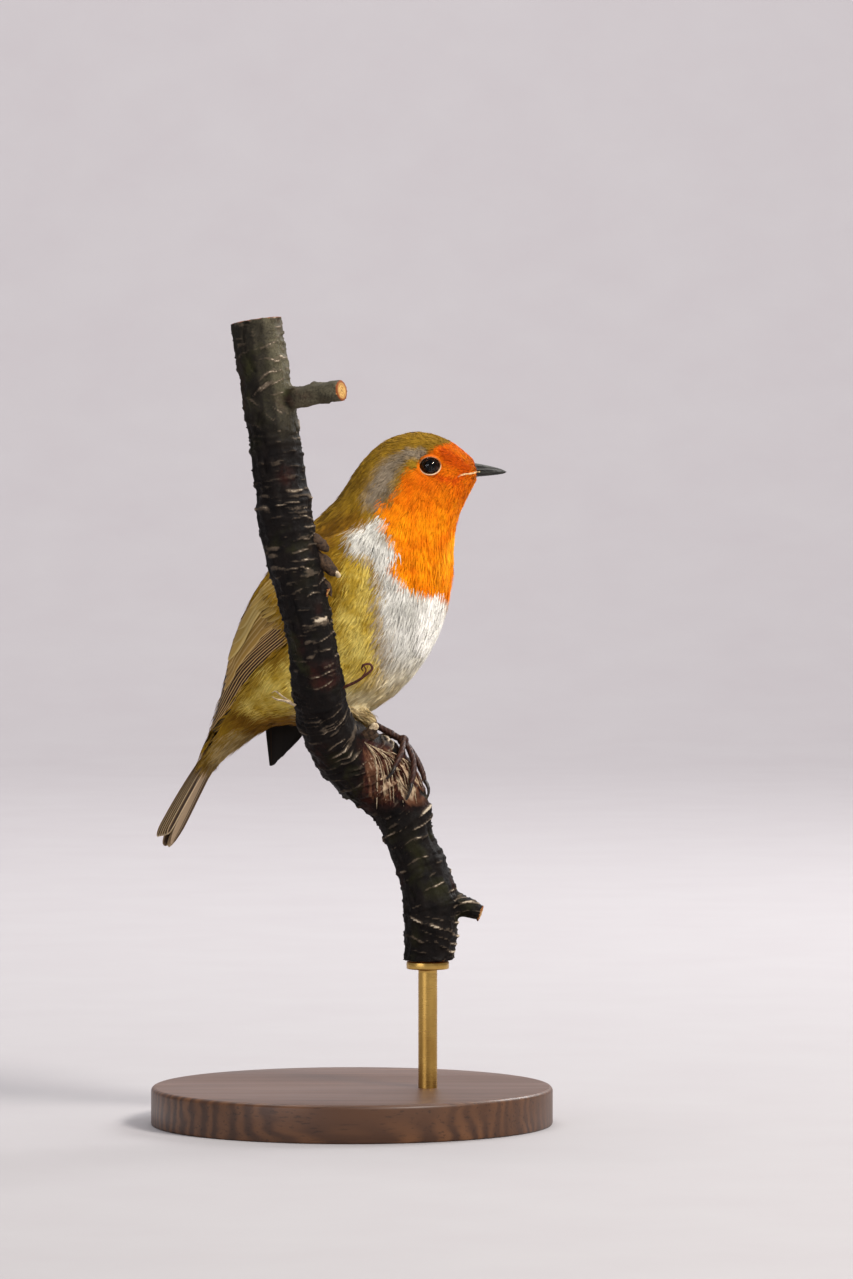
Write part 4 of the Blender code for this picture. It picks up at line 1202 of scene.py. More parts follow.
def make_tail(finishes):
    """The closed tail: twelve feathers, the middle pair on top and the outer ones stacked below."""
    axis = TAIL_TIP - TAIL_BASE
    left = np.array((math.sin(BODY_TURN), math.cos(BODY_TURN), 0.0))
    under = unit(np.cross(axis, left))
    left = left * math.cos(TAIL_ROLL) + under * math.sin(TAIL_ROLL)
    left = unit(left - axis * (left @ axis) / (axis @ axis))
    under = unit(np.cross(axis, left))

    def sheet(spots):
        """The place and the way out at shares along and across the closed tail, arched across."""
        share, column = spots[..., 0], spots[..., 1]
        half = np.interp(share * 5, range(6), TAIL_HALF_WIDTHS)
        bend = np.stack((-1.5 * np.clip(share, 0, 1) ** 0.7,
                         -7.0 * np.clip(0.1 - share, 0, 0.45) * np.clip(-column, 0, 1),
                         np.zeros_like(share)), -1)
        place = (TAIL_BASE + axis * share[..., None] + left * (half * column)[..., None] + bend
                 + under * (0.8 * column ** 2)[..., None])
        return place, np.broadcast_to(-under, place.shape)

    stack, pale = Vanes(sheet, 31), Vanes(sheet, 32)
    broad = TAIL_HALF_WIDTHS[3]
    for i, reach in enumerate((0.94, 0.94, 0.93, 0.92, 0.91, 0.89)):
        for hand in (-1, 1):
            edge = 1.0 - (0.12 if hand < 0 else 0.035) * i
            outer = (3.0 if i == 0 else 1.4) / broad
            column = hand * (edge - outer)
            inner = 4.6 if i == 0 else min(3.4, (abs(column) + 0.05) * broad)
            end = reach + (0.11 if hand > 0 else 0.0)
            vanes = pale if hand > 0 and i > 3 else stack
            vanes.feather((-0.35, column * 0.9), (0.35, column), (end, column * 1.02), outer=outer * broad,
                          inner=inner, layer=0.75 - 0.26 * i + 0.05 * hand, fringe=1.0 if i else 0.25,
                          point=0.86 if hand < 0 else 0.76, flip=-hand, tilt=0.1)
    stack.make("tail_feathers", finishes["tail"], "tail_feathers", ("tail",))
    pale.make("tail_outer_left", finishes["pale_tail"], "tail_feathers")


# ---------------------------------------------------------------- eyes, bill and feet

def lathe(profile, sides, centre, axis="Z"):
    """Points and quads of a turned form from its profile of radius and height."""
    angles = np.linspace(0, math.tau, sides, endpoint=False)
    radius, height = np.array(profile).T
    ring = np.stack((np.outer(radius, np.cos(angles)), np.outer(radius, np.sin(angles)),
                     np.repeat(height[:, None], sides, 1)), -1)
    if axis == "Y":
        ring = ring[..., (0, 2, 1)]
    quads = grid_quads(len(radius), sides, columns_meet=True)
    return ring.reshape(-1, 3) + centre, quads if axis == "Z" else quads[:, ::-1]


def make_lid_skin(side, surface, lie, finish):
    """The feathered skin of the lids, from their beaded edge out over the eyeball to the cheek."""
    hand = HANDS[side]
    around, ring = np.meshgrid(np.linspace(0, math.tau, 96, endpoint=False), np.linspace(0.99, 1.75, 12),
                               indexing="ij")
    spots = eye_oval(ring, around, hand).reshape(-1, 3)
    points = slide_out(surface, spots, -0.02 - 0.5 * ramp(ring, 1.1, 1.75).ravel())
    quads = grid_quads(*ring.shape, rows_meet=True)
    faces = quads if hand < 0 else quads[:, ::-1]
    colour_skin(new_piece(f"lid_skin_{side}", points, (faces,), (finish,)), points, lie)


def colour_skin(piece, points, lie):
    """Gives skin the same markings as the feathers over it, with the painted shade of their roots, and its
    bake map.
    """
    put_marks(piece, points)
    put(piece, "barb", np.tile((0.3, 0.4, 0.5), (len(points), 1)))
    put_bake_map(piece, unwrap(points, lie))


def make_eye(side, finishes):
    """A dark eyeball with a sunken iris, the clear cornea over it, and the beaded lids round it."""
    hand = HANDS[side]
    centre = np.array((EYE_CENTRE[0], HEAD_Y + hand * EYE_SPREAD, EYE_CENTRE[1]))
    ball, cornea = [], []
    for angle in np.linspace(0.02, 2.4, 40):
        radius = EYE_RADIUS - 0.12
        sunk = 0.42 * float(1 - ramp(np.array(radius * math.sin(angle)), 1.2, 2.35))
        ball.append((radius * math.sin(angle), hand * (radius * math.cos(angle) - sunk)))
        dome = EYE_RADIUS + 0.12 * math.exp(-(angle / 0.75) ** 2)
        cornea.append((dome * math.sin(angle), hand * dome * math.cos(angle)))
    points, quads = lathe(ball, 64, centre, "Y")
    eye = new_piece(f"eyeball_{side}", points, (outward(points, quads),), (finishes["iris"],),
                    (f"eye_{side}",))
    put(eye, "from_pole", np.hypot(points[:, 0] - centre[0], points[:, 2] - centre[2]))
    points, quads = lathe(cornea[:30], 64, centre, "Y")
    new_piece(f"cornea_{side}", points, (outward(points, quads),), (finishes["cornea"],))
    around, section = np.meshgrid(*(np.linspace(0, math.tau, count, endpoint=False) for count in (120, 12)),
                                  indexing="ij")
    rear = np.exp(-((around - math.pi) / 0.24) ** 2)         # the pointed corner behind the eye
    x = EYE_OPENING[0] * np.cos(around) * (1 + 0.16 * rear)
    z = EYE_OPENING[1] * np.sin(around) * (1 - 0.25 * rear)
    beads = 1 + 0.18 * np.sin(around * 46) * (np.cos(section) > -0.2)
    below = ramp(-np.sin(around), -0.6, 0.5)
    thick = (0.12 + 0.16 * rear + 0.06 * below) * beads
    reach = np.hypot(x, z)
    spread_out = 1 + thick * np.cos(section) / np.maximum(reach, 0.1)
    base = np.sqrt((EYE_RADIUS + LID_THICKNESS) ** 2 - np.minimum(reach, EYE_RADIUS) ** 2) + 0.05
    y = hand * (base + thick * np.sin(section) * 1.1)
    points = np.stack((x * spread_out, y, z * spread_out), -1).reshape(-1, 3) + centre
    quads = grid_quads(*around.shape, rows_meet=True, columns_meet=True)
    lids = new_piece(f"eyelids_{side}", points, (quads if hand < 0 else quads[:, ::-1],),
                     (finishes["lids"],))
    put(lids, "pale", np.clip(0.15 + 0.75 * below + 0.6 * rear, 0, 1).ravel())


def bill_half(upper, finish):
    """Half of the bill: a fine tapered horn with a ridge, a cutting edge and, above, the nostrils."""
    rows, columns = 44, 40
    share, turn = np.meshgrid(np.linspace(0, 1, rows), np.linspace(0, math.pi, columns), indexing="ij")
    size = (1 - share) ** 0.75 * 0.975 + 0.025
    deep = size if upper else (1 - share) ** 0.5 * 0.97 + 0.03
    height = (BILL_UPPER if upper else BILL_LOWER) * deep
    side = np.sign(np.cos(turn))
    y = BILL_HALF_WIDTH * size * (1.0 if upper else 0.92) * np.cos(turn)
    z = height * np.sin(turn) ** 0.9
    fall = -BILL_DROOP * share ** 2
    if upper:
        z = z * (1 + 0.07 * np.exp(-(y / 0.28) ** 2))
        fall = fall - 0.18 * ramp(share, 0.8, 1.0)
    y = y + side * np.exp(-(z / 0.16) ** 2) * 0.06 * size        # a slight lip along the cutting edge
    if upper:
        up = z / np.maximum(height, 0.1) - 0.5
        nostril = np.exp(-(((share - 0.21) / 0.075) ** 2 + (up / 0.16) ** 2))
        groove = np.exp(-(up / 0.2) ** 2) * (1 - ramp(share, 0.3, 0.5))
        y = y - side * (nostril * 0.5 + groove * 0.1) * size
    x = (BILL_LENGTH - (0.0 if upper else 0.25)) * share
    z = fall + (z + 0.02 if upper else -z - 0.03)
    points = (np.stack((x, y, z), -1) + BILL_BASE).reshape(-1, 3)
    index = np.arange(rows * columns).reshape(rows, columns)
    quads = grid_quads(rows, columns)
    floor = np.stack((index[:-1, 0], index[1:, 0], index[1:, -1], index[:-1, -1]), -1)
    first, last = index[0], index[-1]
    root, tip = (np.stack((one, other, np.full_like(one, corner)), -1)[1:] for one, other, corner in (
        (first[:-1], first[1:], first[0]), (last[1:], last[:-1], last[0])))
    if upper:
        quads, floor = quads[:, ::-1], floor[:, ::-1]
    name = "bill_upper" if upper else "bill_lower"
    piece = new_piece(f"horn_{name}", points, (quads, floor, root, tip), (finish,), (name,))
    # painted highlight along the ridge of the upper bill; on the lower bill, a faint pale cutting edge
    ridge = 0.7 * ramp(np.sin(turn), 0.6, 1.0) * (1 - 0.8 * share)
    put(piece, "wear_and_highlight", (ridge if upper else 0.2 * ramp(np.sin(turn), 0.5, 0.0)).ravel())


def tube(line, radii, sides, squash=1.0):
    """Points, quads and end triangles of a round or flattened tube along a line of points in mm."""
    along = unit(np.gradient(line, axis=0))
    first = unit(np.cross(along[0], (0.31, 0.52, 0.79)))
    angles = np.linspace(0, math.tau, sides, endpoint=False)
    rings = []
    for place, way, radius in zip(line, along, radii):
        first = unit(first - way * (first @ way))
        second = squash * np.cross(way, first)
        rings.append(place + radius * (np.outer(np.cos(angles), first) + np.outer(np.sin(angles), second)))
    points = np.concatenate(rings + [line[:1], line[-1:]])
    around = np.arange(sides)
    after, last = np.roll(around, -1), (len(line) - 1) * sides
    near_end, far_end = np.full(sides, last + sides), np.full(sides, last + sides + 1)
    ends = np.concatenate((np.stack((near_end, after, around), -1),
                           np.stack((far_end, around + last, after + last), -1)))
    return points, grid_quads(len(line), sides, columns_meet=True), ends


def curve(points, count):
    """A smooth line through some points."""
    points = np.asarray(points, float)
    padded = np.concatenate((2 * points[:1] - points[1:2], points, 2 * points[-1:] - points[-2:-1]))
    line = []
    for where in np.linspace(0, len(points) - 1, count):
        i = min(int(where), len(points) - 2)
        t = where - i
        p0, p1, p2, p3 = padded[i:i + 4]
        line.append(0.5 * (2 * p1 + (p2 - p0) * t + (2 * p0 - 5 * p1 + 4 * p2 - p3) * t ** 2
                           + (3 * p1 - p0 - 3 * p2 + p3) * t ** 3))
    return np.array(line)


def twig(points, count, shares, radii, sides, squash=1.0):
    """A tube on a smooth line through some points, with its radius given at some shares of its length."""
    return tube(curve(points, count), taper(count, shares, radii), sides, squash)


def joined_tubes(name, tubes, finish):
    """One piece of several tubes."""
    starts = np.cumsum([0] + [len(points) for points, _, _ in tubes])
    points, quads, ends = zip(*tubes)
    quads, ends = ([faces + start for faces, start in zip(group, starts)] for group in (quads, ends))
    piece = new_piece(name, np.concatenate(points), (np.concatenate(quads), np.concatenate(ends)), (finish,))
    put(piece, "pale", np.ones(starts[-1]))


def make_gape_and_bristles(surface, lie, finishes):
    """The pale skin at the corners of the bill, and the stiff bristles that grow round them."""
    gapes, bristles = [], []
    rng = np.random.default_rng(41)
    for hand in (-1.0, 1.0):
        line = curve([(x, HEAD_Y + hand * y, z) for x, y, z in (
            (33.8, 1.90, 172.08), (33.0, 2.05, 171.98), (31.2, 3.0, 171.66), (29.4, 4.2, 171.45),
            (27.8, 5.0, 170.9))], 18)
        share = ramp(33.4 - line[:, 0], 0.0, 1.2)[:, None]
        line = line * (1 - share) + slide_out(surface, line, 0.0) * share
        thick = taper(18, (0, 0.3, 0.7, 1), (0.04, 0.12, 0.12, 0.03))
        for lift in (-0.11, 0.11):                      # the two lips, with the cleft between them
            gapes.append(tube(line + (0.0, 0.0, lift), thick, sides=10))
        for i in range(9):
            column, row = i % 4, i // 3
            start = (31.6 - 0.5 * column, HEAD_Y + hand * (2.2 + 0.35 * column), 171.4 + 0.55 * row)
            start, out = surface.lift(np.array((start,)), np.array([[-0.1]]))
            way = lie.way(start)
            end = start + out * 1.1 + way * rng.uniform(2.4, 3.4) + (0, 0, rng.uniform(-0.9, 0.2))
            stiff = np.concatenate((start, start + out * 0.9 + way, end))
            bristles.append(twig(stiff, 7, (0, 1), (0.05, 0.015), sides=5))
    joined_tubes("gape_skin", gapes, finishes["gape"])
    joined_tubes("rictal_bristles", bristles, finishes["bristle"])


def make_leg(side, finishes):
    """A foot, its bare tarsus and claws, with scutes along the top and pads below."""
    nodes = [f"foot_{side}", f"tarsus_{side}"]
    points, faces = refined(nodes, voxel=0.18, swell=0.06, rounds=2)
    normals = point_normals(points, faces)
    low, _, middle = box_of(f"tarsus_{side}")
    ankle = np.array((middle[0], middle[1], low[2]))
    reach = np.linalg.norm(points - ankle, axis=1)
    wave = (reach / 0.95) % 1.0
    seam = np.exp(-((wave - 0.5) / 0.13) ** 2)
    above = ramp(points[:, 2], ankle[2], ankle[2] + 1.0)
    top = np.maximum(ramp(normals[:, 2], -0.3, 0.3), above)
    pads = cloud(points, 0.45, 4) * 0.05 * (1 - top)
    shift = -0.07 * seam * top + 0.025 * np.sin(wave * math.pi) * top + pads
    piece = new_piece(f"scutes_{side}", points + normals * shift[:, None], (faces,), (finishes["leg"],),
                      nodes)
    put(piece, "seam", seam * top)
    toes, claws, all_points, all_faces, total = solid_tree([f"foot_{side}"]), [], [], [], 0
    for toe in ("hind", "inner", "middle", "outer"):
        claws.append(f"claw_{side}_{toe}")
        points, faces = refined(claws[-1:], voxel=0.11, rounds=2)
        middle = Vector(points.mean(0))
        back = np.array((toes.find_nearest(middle)[0] - middle).normalized())
        all_points.append(points + back * 0.4)          # each claw's root is set into its toe
        all_faces.append(faces + total)
        total += len(points)
    new_piece(f"claws_{side}", np.concatenate(all_points), (np.concatenate(all_faces),), (finishes["claw"],),
              claws)


# ---------------------------------------------------------------- the branch

def cut_faces(nodes):
    """The sawn ends of the branch: each one's middle, way out and radius in mm."""
    flats = {}
    for node in nodes:
        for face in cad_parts[node].data.polygons:
            plane = round(face.center.dot(face.normal) / MM, 1)
            flats.setdefault((node, plane) + tuple(round(v, 2) for v in face.normal), []).append(face)
    found = []
    for faces in flats.values():
        area = sum(face.area for face in faces)
        if len(faces) >= 6 and area > 3.0 * MM ** 2:
            middle = sum((face.center * face.area for face in faces), Vector()) / MM / area
            found.append((np.array(middle), np.array(faces[0].normal), math.sqrt(area / math.pi) / MM))
    return found


def branch_line(points):
    """The middle line of the branch, from the middle of each slice of its height."""
    heights = np.arange(points[:, 2].min() + 1, points[:, 2].max() - 1, 2.5)
    line = np.array([np.median(points[np.abs(points[:, 2] - height) < 2.5], axis=0) for height in heights])
    return eased(line, 3)


def unrolled(points):
    """Each place on the branch as its distance along it and its angle round it, and the branch's length."""
    line = branch_line(points)
    nearest = np.array([np.argmin(((line - point) ** 2).sum(1)) for point in points])
    travelled = np.concatenate(((0,), np.cumsum(np.linalg.norm(np.diff(line, axis=0), axis=1))))
    along = unit(np.gradient(line, axis=0))[nearest]
    spoke = points - line[nearest]
    height = travelled[nearest] + dot(spoke, along)[:, 0]
    spoke = spoke - along * dot(spoke, along)
    first = unit(np.cross(along, (0.0, 1.0, 0.0)))
    angle = np.arctan2(dot(spoke, np.cross(along, first))[:, 0], dot(spoke, first)[:, 0])
    return height, angle, travelled[-1]


def make_bark(finishes):
    """The cut length of branch: ridged, cracked bark with ring scars, and pale sawn ends."""
    nodes = ["perch_lower", "perch_upper"]
    points, faces = refined(nodes, voxel=0.45, swell=0.16, rounds=3)
    normals = point_normals(points, faces)
    height, angle, length = unrolled(points)
    x, _, z = points.T
    rolled = np.stack((height, np.cos(angle) * 7, np.sin(angle) * 7), -1)
    rows = cloud(rolled, (0.75, 4.2, 4.2), 1) + 0.5 * cloud(rolled, (0.4, 2.0, 2.0), 2)
    ridge = ramp(rows, 0.15, 0.8)
    scars = np.zeros(len(points))
    places = np.arange(6, length, 11.0)
    for place in places + np.random.default_rng(51).uniform(-3, 3, len(places)):
        scars += np.exp(-((height - place - 0.8 * np.sin(angle + place)) / 0.7) ** 2)
    scars = np.minimum(scars, 1.0)
    lumps = 0.5 * cloud(points, 6.0, 3) + 0.22 * cloud(points, 2.2, 4)
    crack = -0.35 * ramp(cloud(rolled, (6.0, 0.9, 0.9), 5), 0.45, 0.75)
    hub = points - ELBOW_HUB
    bearing = np.arctan2(hub[:, 0], -hub[:, 2]) + 0.05 * cloud(points, 3.0, 6)
    elbow = ramp(x, 1.0, 5.0) * (1 - ramp(z, 98.0, 103.0)) * ramp(z, 82.0, 88.0)
    fanned = np.stack((bearing * 18, np.linalg.norm(hub, axis=1) * 0.16, np.zeros(len(points))), -1)
    fibres = 0.6 * cloud(fanned, (1.1, 1.0, 1.0), 12) + 0.5 * cloud(fanned, (0.5, 0.8, 1.0), 13)
    bands = (height + 1.5 * cloud(points, 5.0, 21)) / BAND_GAP % 1.0 - 0.5
    crescents = np.exp(-(bands * BAND_GAP / 0.24) ** 2) * ramp(cloud(rolled, (3.0, 5.0, 5.0), 22), -0.1, 0.3)
    # painted highlight: the crescents are made strongest where the bark faces the key light, in their relief
    # and their pale colour
    crescents = crescents * (0.3 + 0.7 * ramp(normals[:, 0], -0.3, 0.5))
    shift = (lumps + 0.46 * ridge + 0.35 * scars + 0.3 * crescents + crack + 0.42 * elbow * fibres
             + 0.07 * cloud(points, 0.8, 7) - 0.28)
    sawn = np.zeros(len(points), bool)
    ring = np.zeros((len(points), 3))
    for middle, way, radius in cut_faces(nodes):
        depth = (points - middle) @ way
        away = np.linalg.norm(points - middle - depth[:, None] * way, axis=1)
        on = (np.abs(depth) < 0.75) & (away < radius * 1.05) & (normals @ way > 0.35)
        sawn |= on
        ring[on, :2] = np.stack((away[on], away[on] / radius), -1)
    shift = np.where(sawn, 0.04 * cloud(points, 0.7, 8) - 0.16, shift)
    feet = solid_tree(["foot_left", "foot_right"])       # the bark stays clear of the toes
    clear = np.array([feet.find_nearest(Vector(point))[3] for point in points])
    shift = np.minimum(shift, np.where(clear < 2.5, clear * 0.5 - 0.3, 9.0))
    moved = points + normals * shift[:, None]
    piece = new_piece("bark", moved, (faces,), (finishes["bark"], finishes["cut"]), nodes)
    on_cut = sawn[faces].mean(1) > 0.6
    piece.data.polygons.foreach_set("material_index", on_cut.astype(np.int32))
    # pale crests: wear on the ridges and ring scars, and painted highlight on the lit crescents
    crest_and_highlight = 0.2 + 0.55 * ridge * (0.6 + 0.6 * cloud(points, 5.0, 9)) + 0.5 * scars * ridge + 0.75 * crescents
    knot = np.exp(-(np.linalg.norm(points - BARK_KNOT, axis=1) / 3.0) ** 2)     # damp and dark
    peel = np.clip(elbow * 1.2 + ramp(cloud(points, 9.0, 11), 0.35, 0.7) * 0.6, 0, 1)
    lichen = ramp(cloud(points, 14.0, 10), -0.2, 0.5)
    put(piece, "relief", np.stack((np.clip(crest_and_highlight, 0, 1.2) * (1 - 0.85 * knot), peel, lichen), -1))
    put(piece, "ring", ring)
    # grey patches on top of the branch, strongest where it faces the key light: partly dust, partly painted
    # light
    dust_and_light = ramp(z, 178.0, 192.0) * (0.15 + 0.85 * ramp(normals[:, 0] + 0.5 * normals[:, 2], -0.3, 0.7))
    dust_and_light = np.maximum(dust_and_light, ramp(x, -17.0, -13.0) * ramp(z, 182.0, 186.0))
    put(piece, "dust_and_light", dust_and_light * (0.55 + 0.45 * ramp(cloud(points, 4.0, 15), -0.4, 0.4)))
    strips = elbow * (0.45 + 0.9 * fibres) + 0.25 * elbow * cloud(points, 2.5, 14)
    put(piece, "strips", np.clip(strips, 0, 1.2))
    return BVHTree.FromPolygons(moved.tolist(), faces.tolist())


def on_front(tree, x, z, lift):
    """The place on the near face of the branch at x and z, or on its edge where it doesn't reach."""
    hit, normal, _, _ = tree.ray_cast(Vector((x, -80.0, z)), Vector((0, 1, 0)))
    if hit is None:
        hit, normal, _, _ = tree.find_nearest(Vector((x, -20.0, z)))
    return np.array(hit + normal * lift)


def make_branch_trim(tree, finishes):
    """Peeling strips on the elbow, dead buds and spurs, and the two small curls of bark."""
    rng = np.random.default_rng(61)
    strips = []
    for i in range(26):
        q = (i + rng.uniform(-0.4, 0.4)) / 25
        start = (3.4 + 4.4 * q, 101.8 - 2.4 * q)
        bend = (6.4 + 10.6 * q, 96.4 - 0.6 * q + rng.normal(0, 0.3))
        end = (7.0 + 13.4 * q + rng.normal(0, 0.5), 85.6 + 2.8 * q + rng.normal(0, 1.6))
        flat = curve((start, bend, end), 18)
        lifts = taper(18, (0, 0.15, 0.8, 1), (0.0, 0.14, 0.1, rng.uniform(0.0, 0.5)))
        line = eased(np.array([on_front(tree, x, z, lift) for (x, z), lift in zip(flat, lifts)]), 5)
        radii = taper(18, (0, 0.2, 0.8, 1), (0.14, 0.42, 0.34, 0.06))
        strips.append(tube(line, radii * rng.uniform(0.5, 1.3), sides=8, squash=0.3))
    joined_tubes("peeled_strips_pale", strips[::2], finishes["strip"])
    joined_tubes("peeled_strips_red", strips[1::2], finishes["red_strip"])
    spurs = []
    for line, radii in (
        (((-11.6, -27.4, 155.4), (-9.0, -28.2, 154.6), (-7.0, -28.5, 153.2), (-5.8, -28.6, 152.0)),
         (2.1, 1.7, 1.3, 0.8)),
        (((-10.4, -27.0, 150.6), (-7.0, -28.1, 149.0), (-5.0, -28.5, 147.2), (-3.4, -28.7, 145.9)),
         (2.6, 2.0, 1.5, 1.1)),
        (((-8.8, -26.2, 145.0), (-6.2, -27.4, 142.6), (-5.0, -27.6, 140.2)), (1.9, 1.2, 0.3)),
        (((-1.0, -13.0, 100.5), (3.4, -14.4, 103.2), (5.2, -14.8, 104.6), (6.3, -15.0, 106.2)),
         (2.0, 1.5, 1.3, 1.4)),
        (((1.5, -13.2, 101.4), (5.2, -14.6, 103.0), (7.2, -15.0, 103.6)), (1.3, 1.0, 0.5)),
    ):
        path = curve(line, 22)
        size = taper(22, np.linspace(0, 1, len(radii)), radii)
        size = size * (1 + 0.16 * cloud(path, 1.4, 3) + 0.08 * cloud(path, 0.5, 4))
        size = size * np.sqrt(np.maximum(1 - np.linspace(0, 1, 22) ** 10, 0.01))
        spurs.append(tube(path, size, sides=16))
    joined_tubes("spurs", spurs, finishes["spur"])
    curls = (
        twig(((-3.4, -23.6, 115.8), (-0.6, -24.4, 117.0), (1.9, -24.8, 118.3), (4.1, -25.0, 119.9),
              (5.5, -25.0, 121.3), (5.0, -25.1, 122.5), (3.5, -25.2, 122.4), (2.8, -25.2, 121.5),
              (3.2, -25.3, 120.7)), 40, (0, 0.3, 0.8, 1), (0.55, 0.42, 0.34, 0.12), sides=10, squash=0.6),
        twig(((2.9, -24.9, 119.0), (3.9, -25.4, 121.0), (3.0, -25.6, 122.6)), 14, (0, 1), (0.28, 0.1),
             sides=8, squash=0.6))
    joined_tubes("curled_twig", curls, finishes["red_strip"])
    flakes = [
        twig(((-14.4, -25.4, 111.8), (-17.0, -26.2, 113.0), (-19.2, -26.6, 113.4), (-20.6, -26.7, 114.2)), 16,
             (0, 0.5, 1), (0.66, 0.55, 0.1925), sides=10, squash=0.4),
        twig(((-15.4, -25.8, 112.6), (-17.8, -26.6, 114.2), (-19.6, -27.0, 115.6), (-20.6, -27.1, 115.1)), 16,
             (0, 0.5, 1), (0.408, 0.34, 0.119), sides=10, squash=0.4)]
    for line, radius, first, squash in (               # the broken tip of a spur, and the cap of a bud
        (((-4.8, -28.6, 147.2), (-3.6, -28.9, 146.2), (-2.8, -29.0, 145.3)), 0.95, -0.2, 0.7),
        (((5.0, -15.0, 104.4), (6.0, -15.4, 105.6), (6.7, -15.6, 106.6)), 1.15, -0.4, 0.8),
    ):
        rounded = np.sqrt(np.maximum(1 - np.linspace(first, 1, 12) ** 4, 0.01))
        flakes.append(tube(curve(line, 12), radius * rounded, sides=12, squash=squash))
    joined_tubes("bark_flakes", flakes, finishes["strip"])


# ---------------------------------------------------------------- stand, floor, light and camera

def make_stand(finishes):
    """The turned walnut base and the brass rod with its flange, in the size of their solids."""
    low, high, middle = box_of("stand_base")
    radius, top = (high[0] - low[0]) / 2, high[2]
    arc = np.linspace(0, math.pi / 2, 7)
    profile = [(radius * share, top) for share in (0.01 / radius, 0.3, 0.6, 0.85)]
    profile += [(radius - BASE_BEVEL * (1 - math.sin(a)), top - BASE_BEVEL * (1 - math.cos(a))) for a in arc]
    profile += [(radius, 0.5), (radius - 0.15, 0.15), (radius - 0.5, low[2]), (0.01, low[2])]
    points, quads = lathe(profile, 160, (middle[0], middle[1], 0.0))
    new_piece("walnut_base", points, (quads[:, ::-1],), (finishes["walnut"],), ("stand_base",))
    low, high, middle = box_of("stand_rod")
    flange, top = (high[0] - low[0]) / 2, high[2]
    under = top - FLANGE_THICKNESS
    profile = [(0.01, top), (flange - 0.3, top), (flange - 0.08, top - 0.08), (flange, top - 0.3),
               (flange, under + 0.3), (flange - 0.08, under + 0.08), (flange - 0.3, under),
               (ROD_RADIUS + 0.5, under), (ROD_RADIUS + 0.12, under - 0.15), (ROD_RADIUS, under - 0.5)]
    profile += [(ROD_RADIUS, z) for z in np.linspace(under - 1, low[2], 12)] + [(0.01, low[2])]
    points, quads = lathe(profile, 72, (middle[0], middle[1], 0.0))
    new_piece("brass_rod", points, (quads[:, ::-1],), (finishes["brass"],), ("stand_rod",))


def make_floor(finish):
    """A pale paper sweep: flat under the stand and curving up far behind it."""
    flat, rise, radius = 1600.0, 2600.0, 900.0
    arc = np.linspace(0, math.pi / 2, 14)
    profile = [(-3200.0, 0.0), (0.0, 0.0)]
    profile += [(flat + radius * math.sin(a), radius - radius * math.cos(a)) for a in arc]
    profile.append((flat + radius, rise))
    across = np.linspace(-3500, 3500, 9)
    points = [(x, y, z) for y, z in profile for x in across]
    floor = new_thing("floor", points, (grid_quads(len(profile), len(across)),), (finish,))


def light_and_camera():
    """Soft studio light with its key from the upper right, and the camera level with the bird."""
    bird = (0.0, 0.0, 0.13)
    for name, place, aim, size, power, colour in (
            ("key", (0.75, -0.75, 0.95), bird, 0.40, 21.0, "#fffaf4"),
            ("fill", (-1.1, -1.3, 0.22), bird, 1.2, 9.5, "#f8f5fa"),
            ("edge", (0.75, 0.75, 0.75), bird, 0.5, 9.0, "#ffffff"),
            ("top", (-0.3, 0.2, 1.3), bird, 0.8, 6.0, "#ffffff"),
            ("sweep", (0.0, 1.1, 1.9), (0.0, 2.5, 0.5), 1.6, 48.0, "#fffafc")):
        data = bpy.data.lights.new(name, "AREA")
        data.shape, data.size, data.energy, data.color = "DISK", size, power, linear(colour)[:3]
        light = placed(bpy.data.objects.new(name, data))
        light.location = place
        light.rotation_euler = (Vector(aim) - Vector(place)).to_track_quat("-Z", "Y").to_euler()
    world = bpy.data.worlds.new("studio")
    world.use_nodes = True
    back = world.node_tree.nodes["Background"]
    back.inputs["Color"].default_value = linear("#e9e6ea")
    back.inputs["Strength"].default_value = 0.32
    bpy.context.scene.world = world
    bpy.context.scene.view_settings.view_transform = "Standard"
    data = bpy.data.cameras.new("camera")
    data.sensor_width = 36.0
    data.lens = data.sensor_width * CAMERA_DISTANCE / VIEW_HEIGHT
    camera = placed(bpy.data.objects.new("camera", data))
    back_to = Vector((0.0, -math.cos(CAMERA_RISE), math.sin(CAMERA_RISE)))
    camera.location = CAMERA_TARGET + back_to * CAMERA_DISTANCE
    camera.rotation_euler = (-back_to).to_track_quat("-Z", "Y").to_euler()
    bpy.context.scene.camera = camera


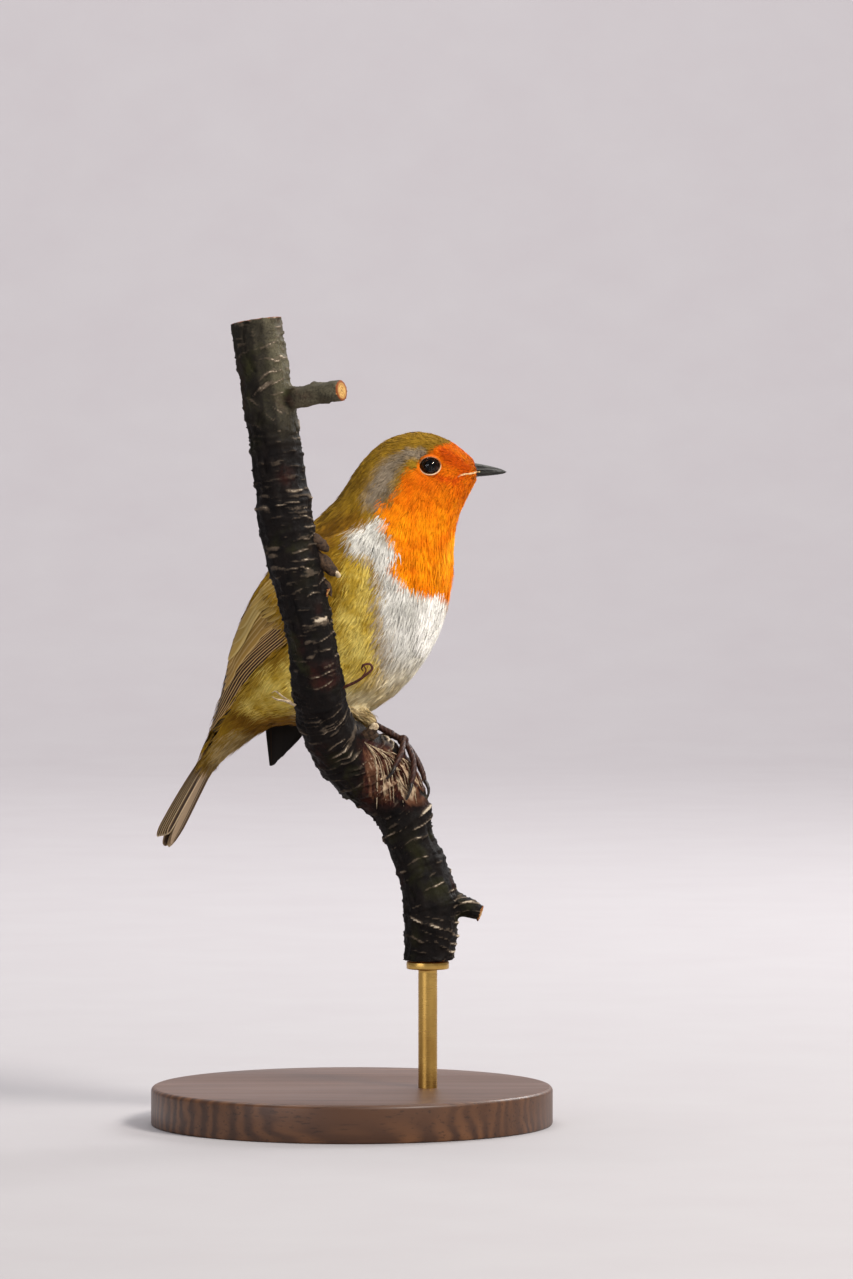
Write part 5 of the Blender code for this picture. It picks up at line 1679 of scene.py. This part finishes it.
def build():
    """The whole scene: lights, camera, floor, bird, branch and stand."""
    light_and_camera()
    make_floor(pale_floor())
    finishes = {
        "plumage": soft_plumage(),
        "flight": vaned("secondary_feathers", "#9a7838", "#5a3c18", "#5c3e1a", "#c0a064", 0.82),
        # the primaries' near-black webs: partly their own dark brown, partly painted shade for the far wing's
        # shaded side
        "primary": vaned("primary_feathers", "#2c190b", "#170c06", "#1c110a", "#b8945c", 0.70),
        "covert": vaned("covert_feathers", "#a38540", "#7a5e28", "#8c7034", "#bfa565", 0.8),
        # painted shadow: the tail's dark middle and inner webs stand partly for the shade between stacked
        # feathers and down its middle, and the outer tail feathers' darker outer webs for the shadow line
        # along their edge
        "tail": vaned("tail_feathers", "#94723f", "#38230e", "#4a3216", "#f0d8ac", 0.64),
        "pale_tail": vaned("outer_tail_feathers", "#5e4830", "#bfa582", "#c8ae8a", "#d4bb98", 0.92),
        # near-black under-wing feathers: painted shade
        "lining_in_painted_shade": vaned("under_wing_feathers_in_painted_shade", "#1a1613", "#120f0d", "#171310", "#26201b", 0.9),
        "iris": iris_finish(),
        "cornea": cornea_finish(),
        "lids": bare_skin("eyelid_skin", "#9a5218", "#f8d6ac", 0.13),
        "gape": bare_skin("gape_skin", "#c58a4c", "#ead09c", 0.2),
        "bill": horn("bill_horn", "#0a0a09", "#33332e", 0.42, 0.22),
        "claw": horn("claw_horn", "#120d0a", "#33281f", 0.38, 0.35),
        "bristle": horn("bristles", "#2a1a10", "#6a4a30", 0.5, 0.35),
        "leg": scaly_leg(),
        "bark": living_bark(),
        "cut": cut_wood(),
        "strip": peeled_strip("peeled_bark", "#7a6248", "#dccaa8"),
        "red_strip": peeled_strip("red_peeled_bark", "#1e0c09", "#5a3024"),
        "spur": peeled_strip("dead_spur_bark", "#120b08", "#54402f"),
        "walnut": oiled_walnut(),
        "brass": brushed_brass(),
    }
    lie = Lie()
    bare, bare_faces = refined(BODY_SOLIDS, voxel=0.75, swell=JOIN_SKIN, rounds=6)
    bare -= point_normals(bare, bare_faces) * JOIN_SKIN
    dressed, dressed_faces = refined(BODY_SOLIDS + ("wing_left", "wing_right", "tail"), voxel=0.9,
                                     swell=JOIN_COAT)
    dressed -= point_normals(dressed, dressed_faces) * JOIN_COAT
    surface = Surface(dressed, dressed_faces, step=1.0, reach=5.0)
    make_skin(bare, bare_faces, lie, finishes["plumage"])
    wings = {side: wing_sheet(side, lie) for side in HANDS}
    dress_body(dressed, dressed_faces, surface, lie, wings.values(), finishes["plumage"])
    for side, wing in wings.items():
        make_wing(side, wing[0], finishes)
        make_eye(side, finishes)
        make_lid_skin(side, surface, lie, finishes["plumage"])
        make_leg(side, finishes)
    make_tail(finishes)
    for upper in (True, False):
        bill_half(upper, finishes["bill"])
    make_gape_and_bristles(surface, lie, finishes)
    make_branch_trim(make_bark(finishes), finishes)
    make_stand(finishes)


build()
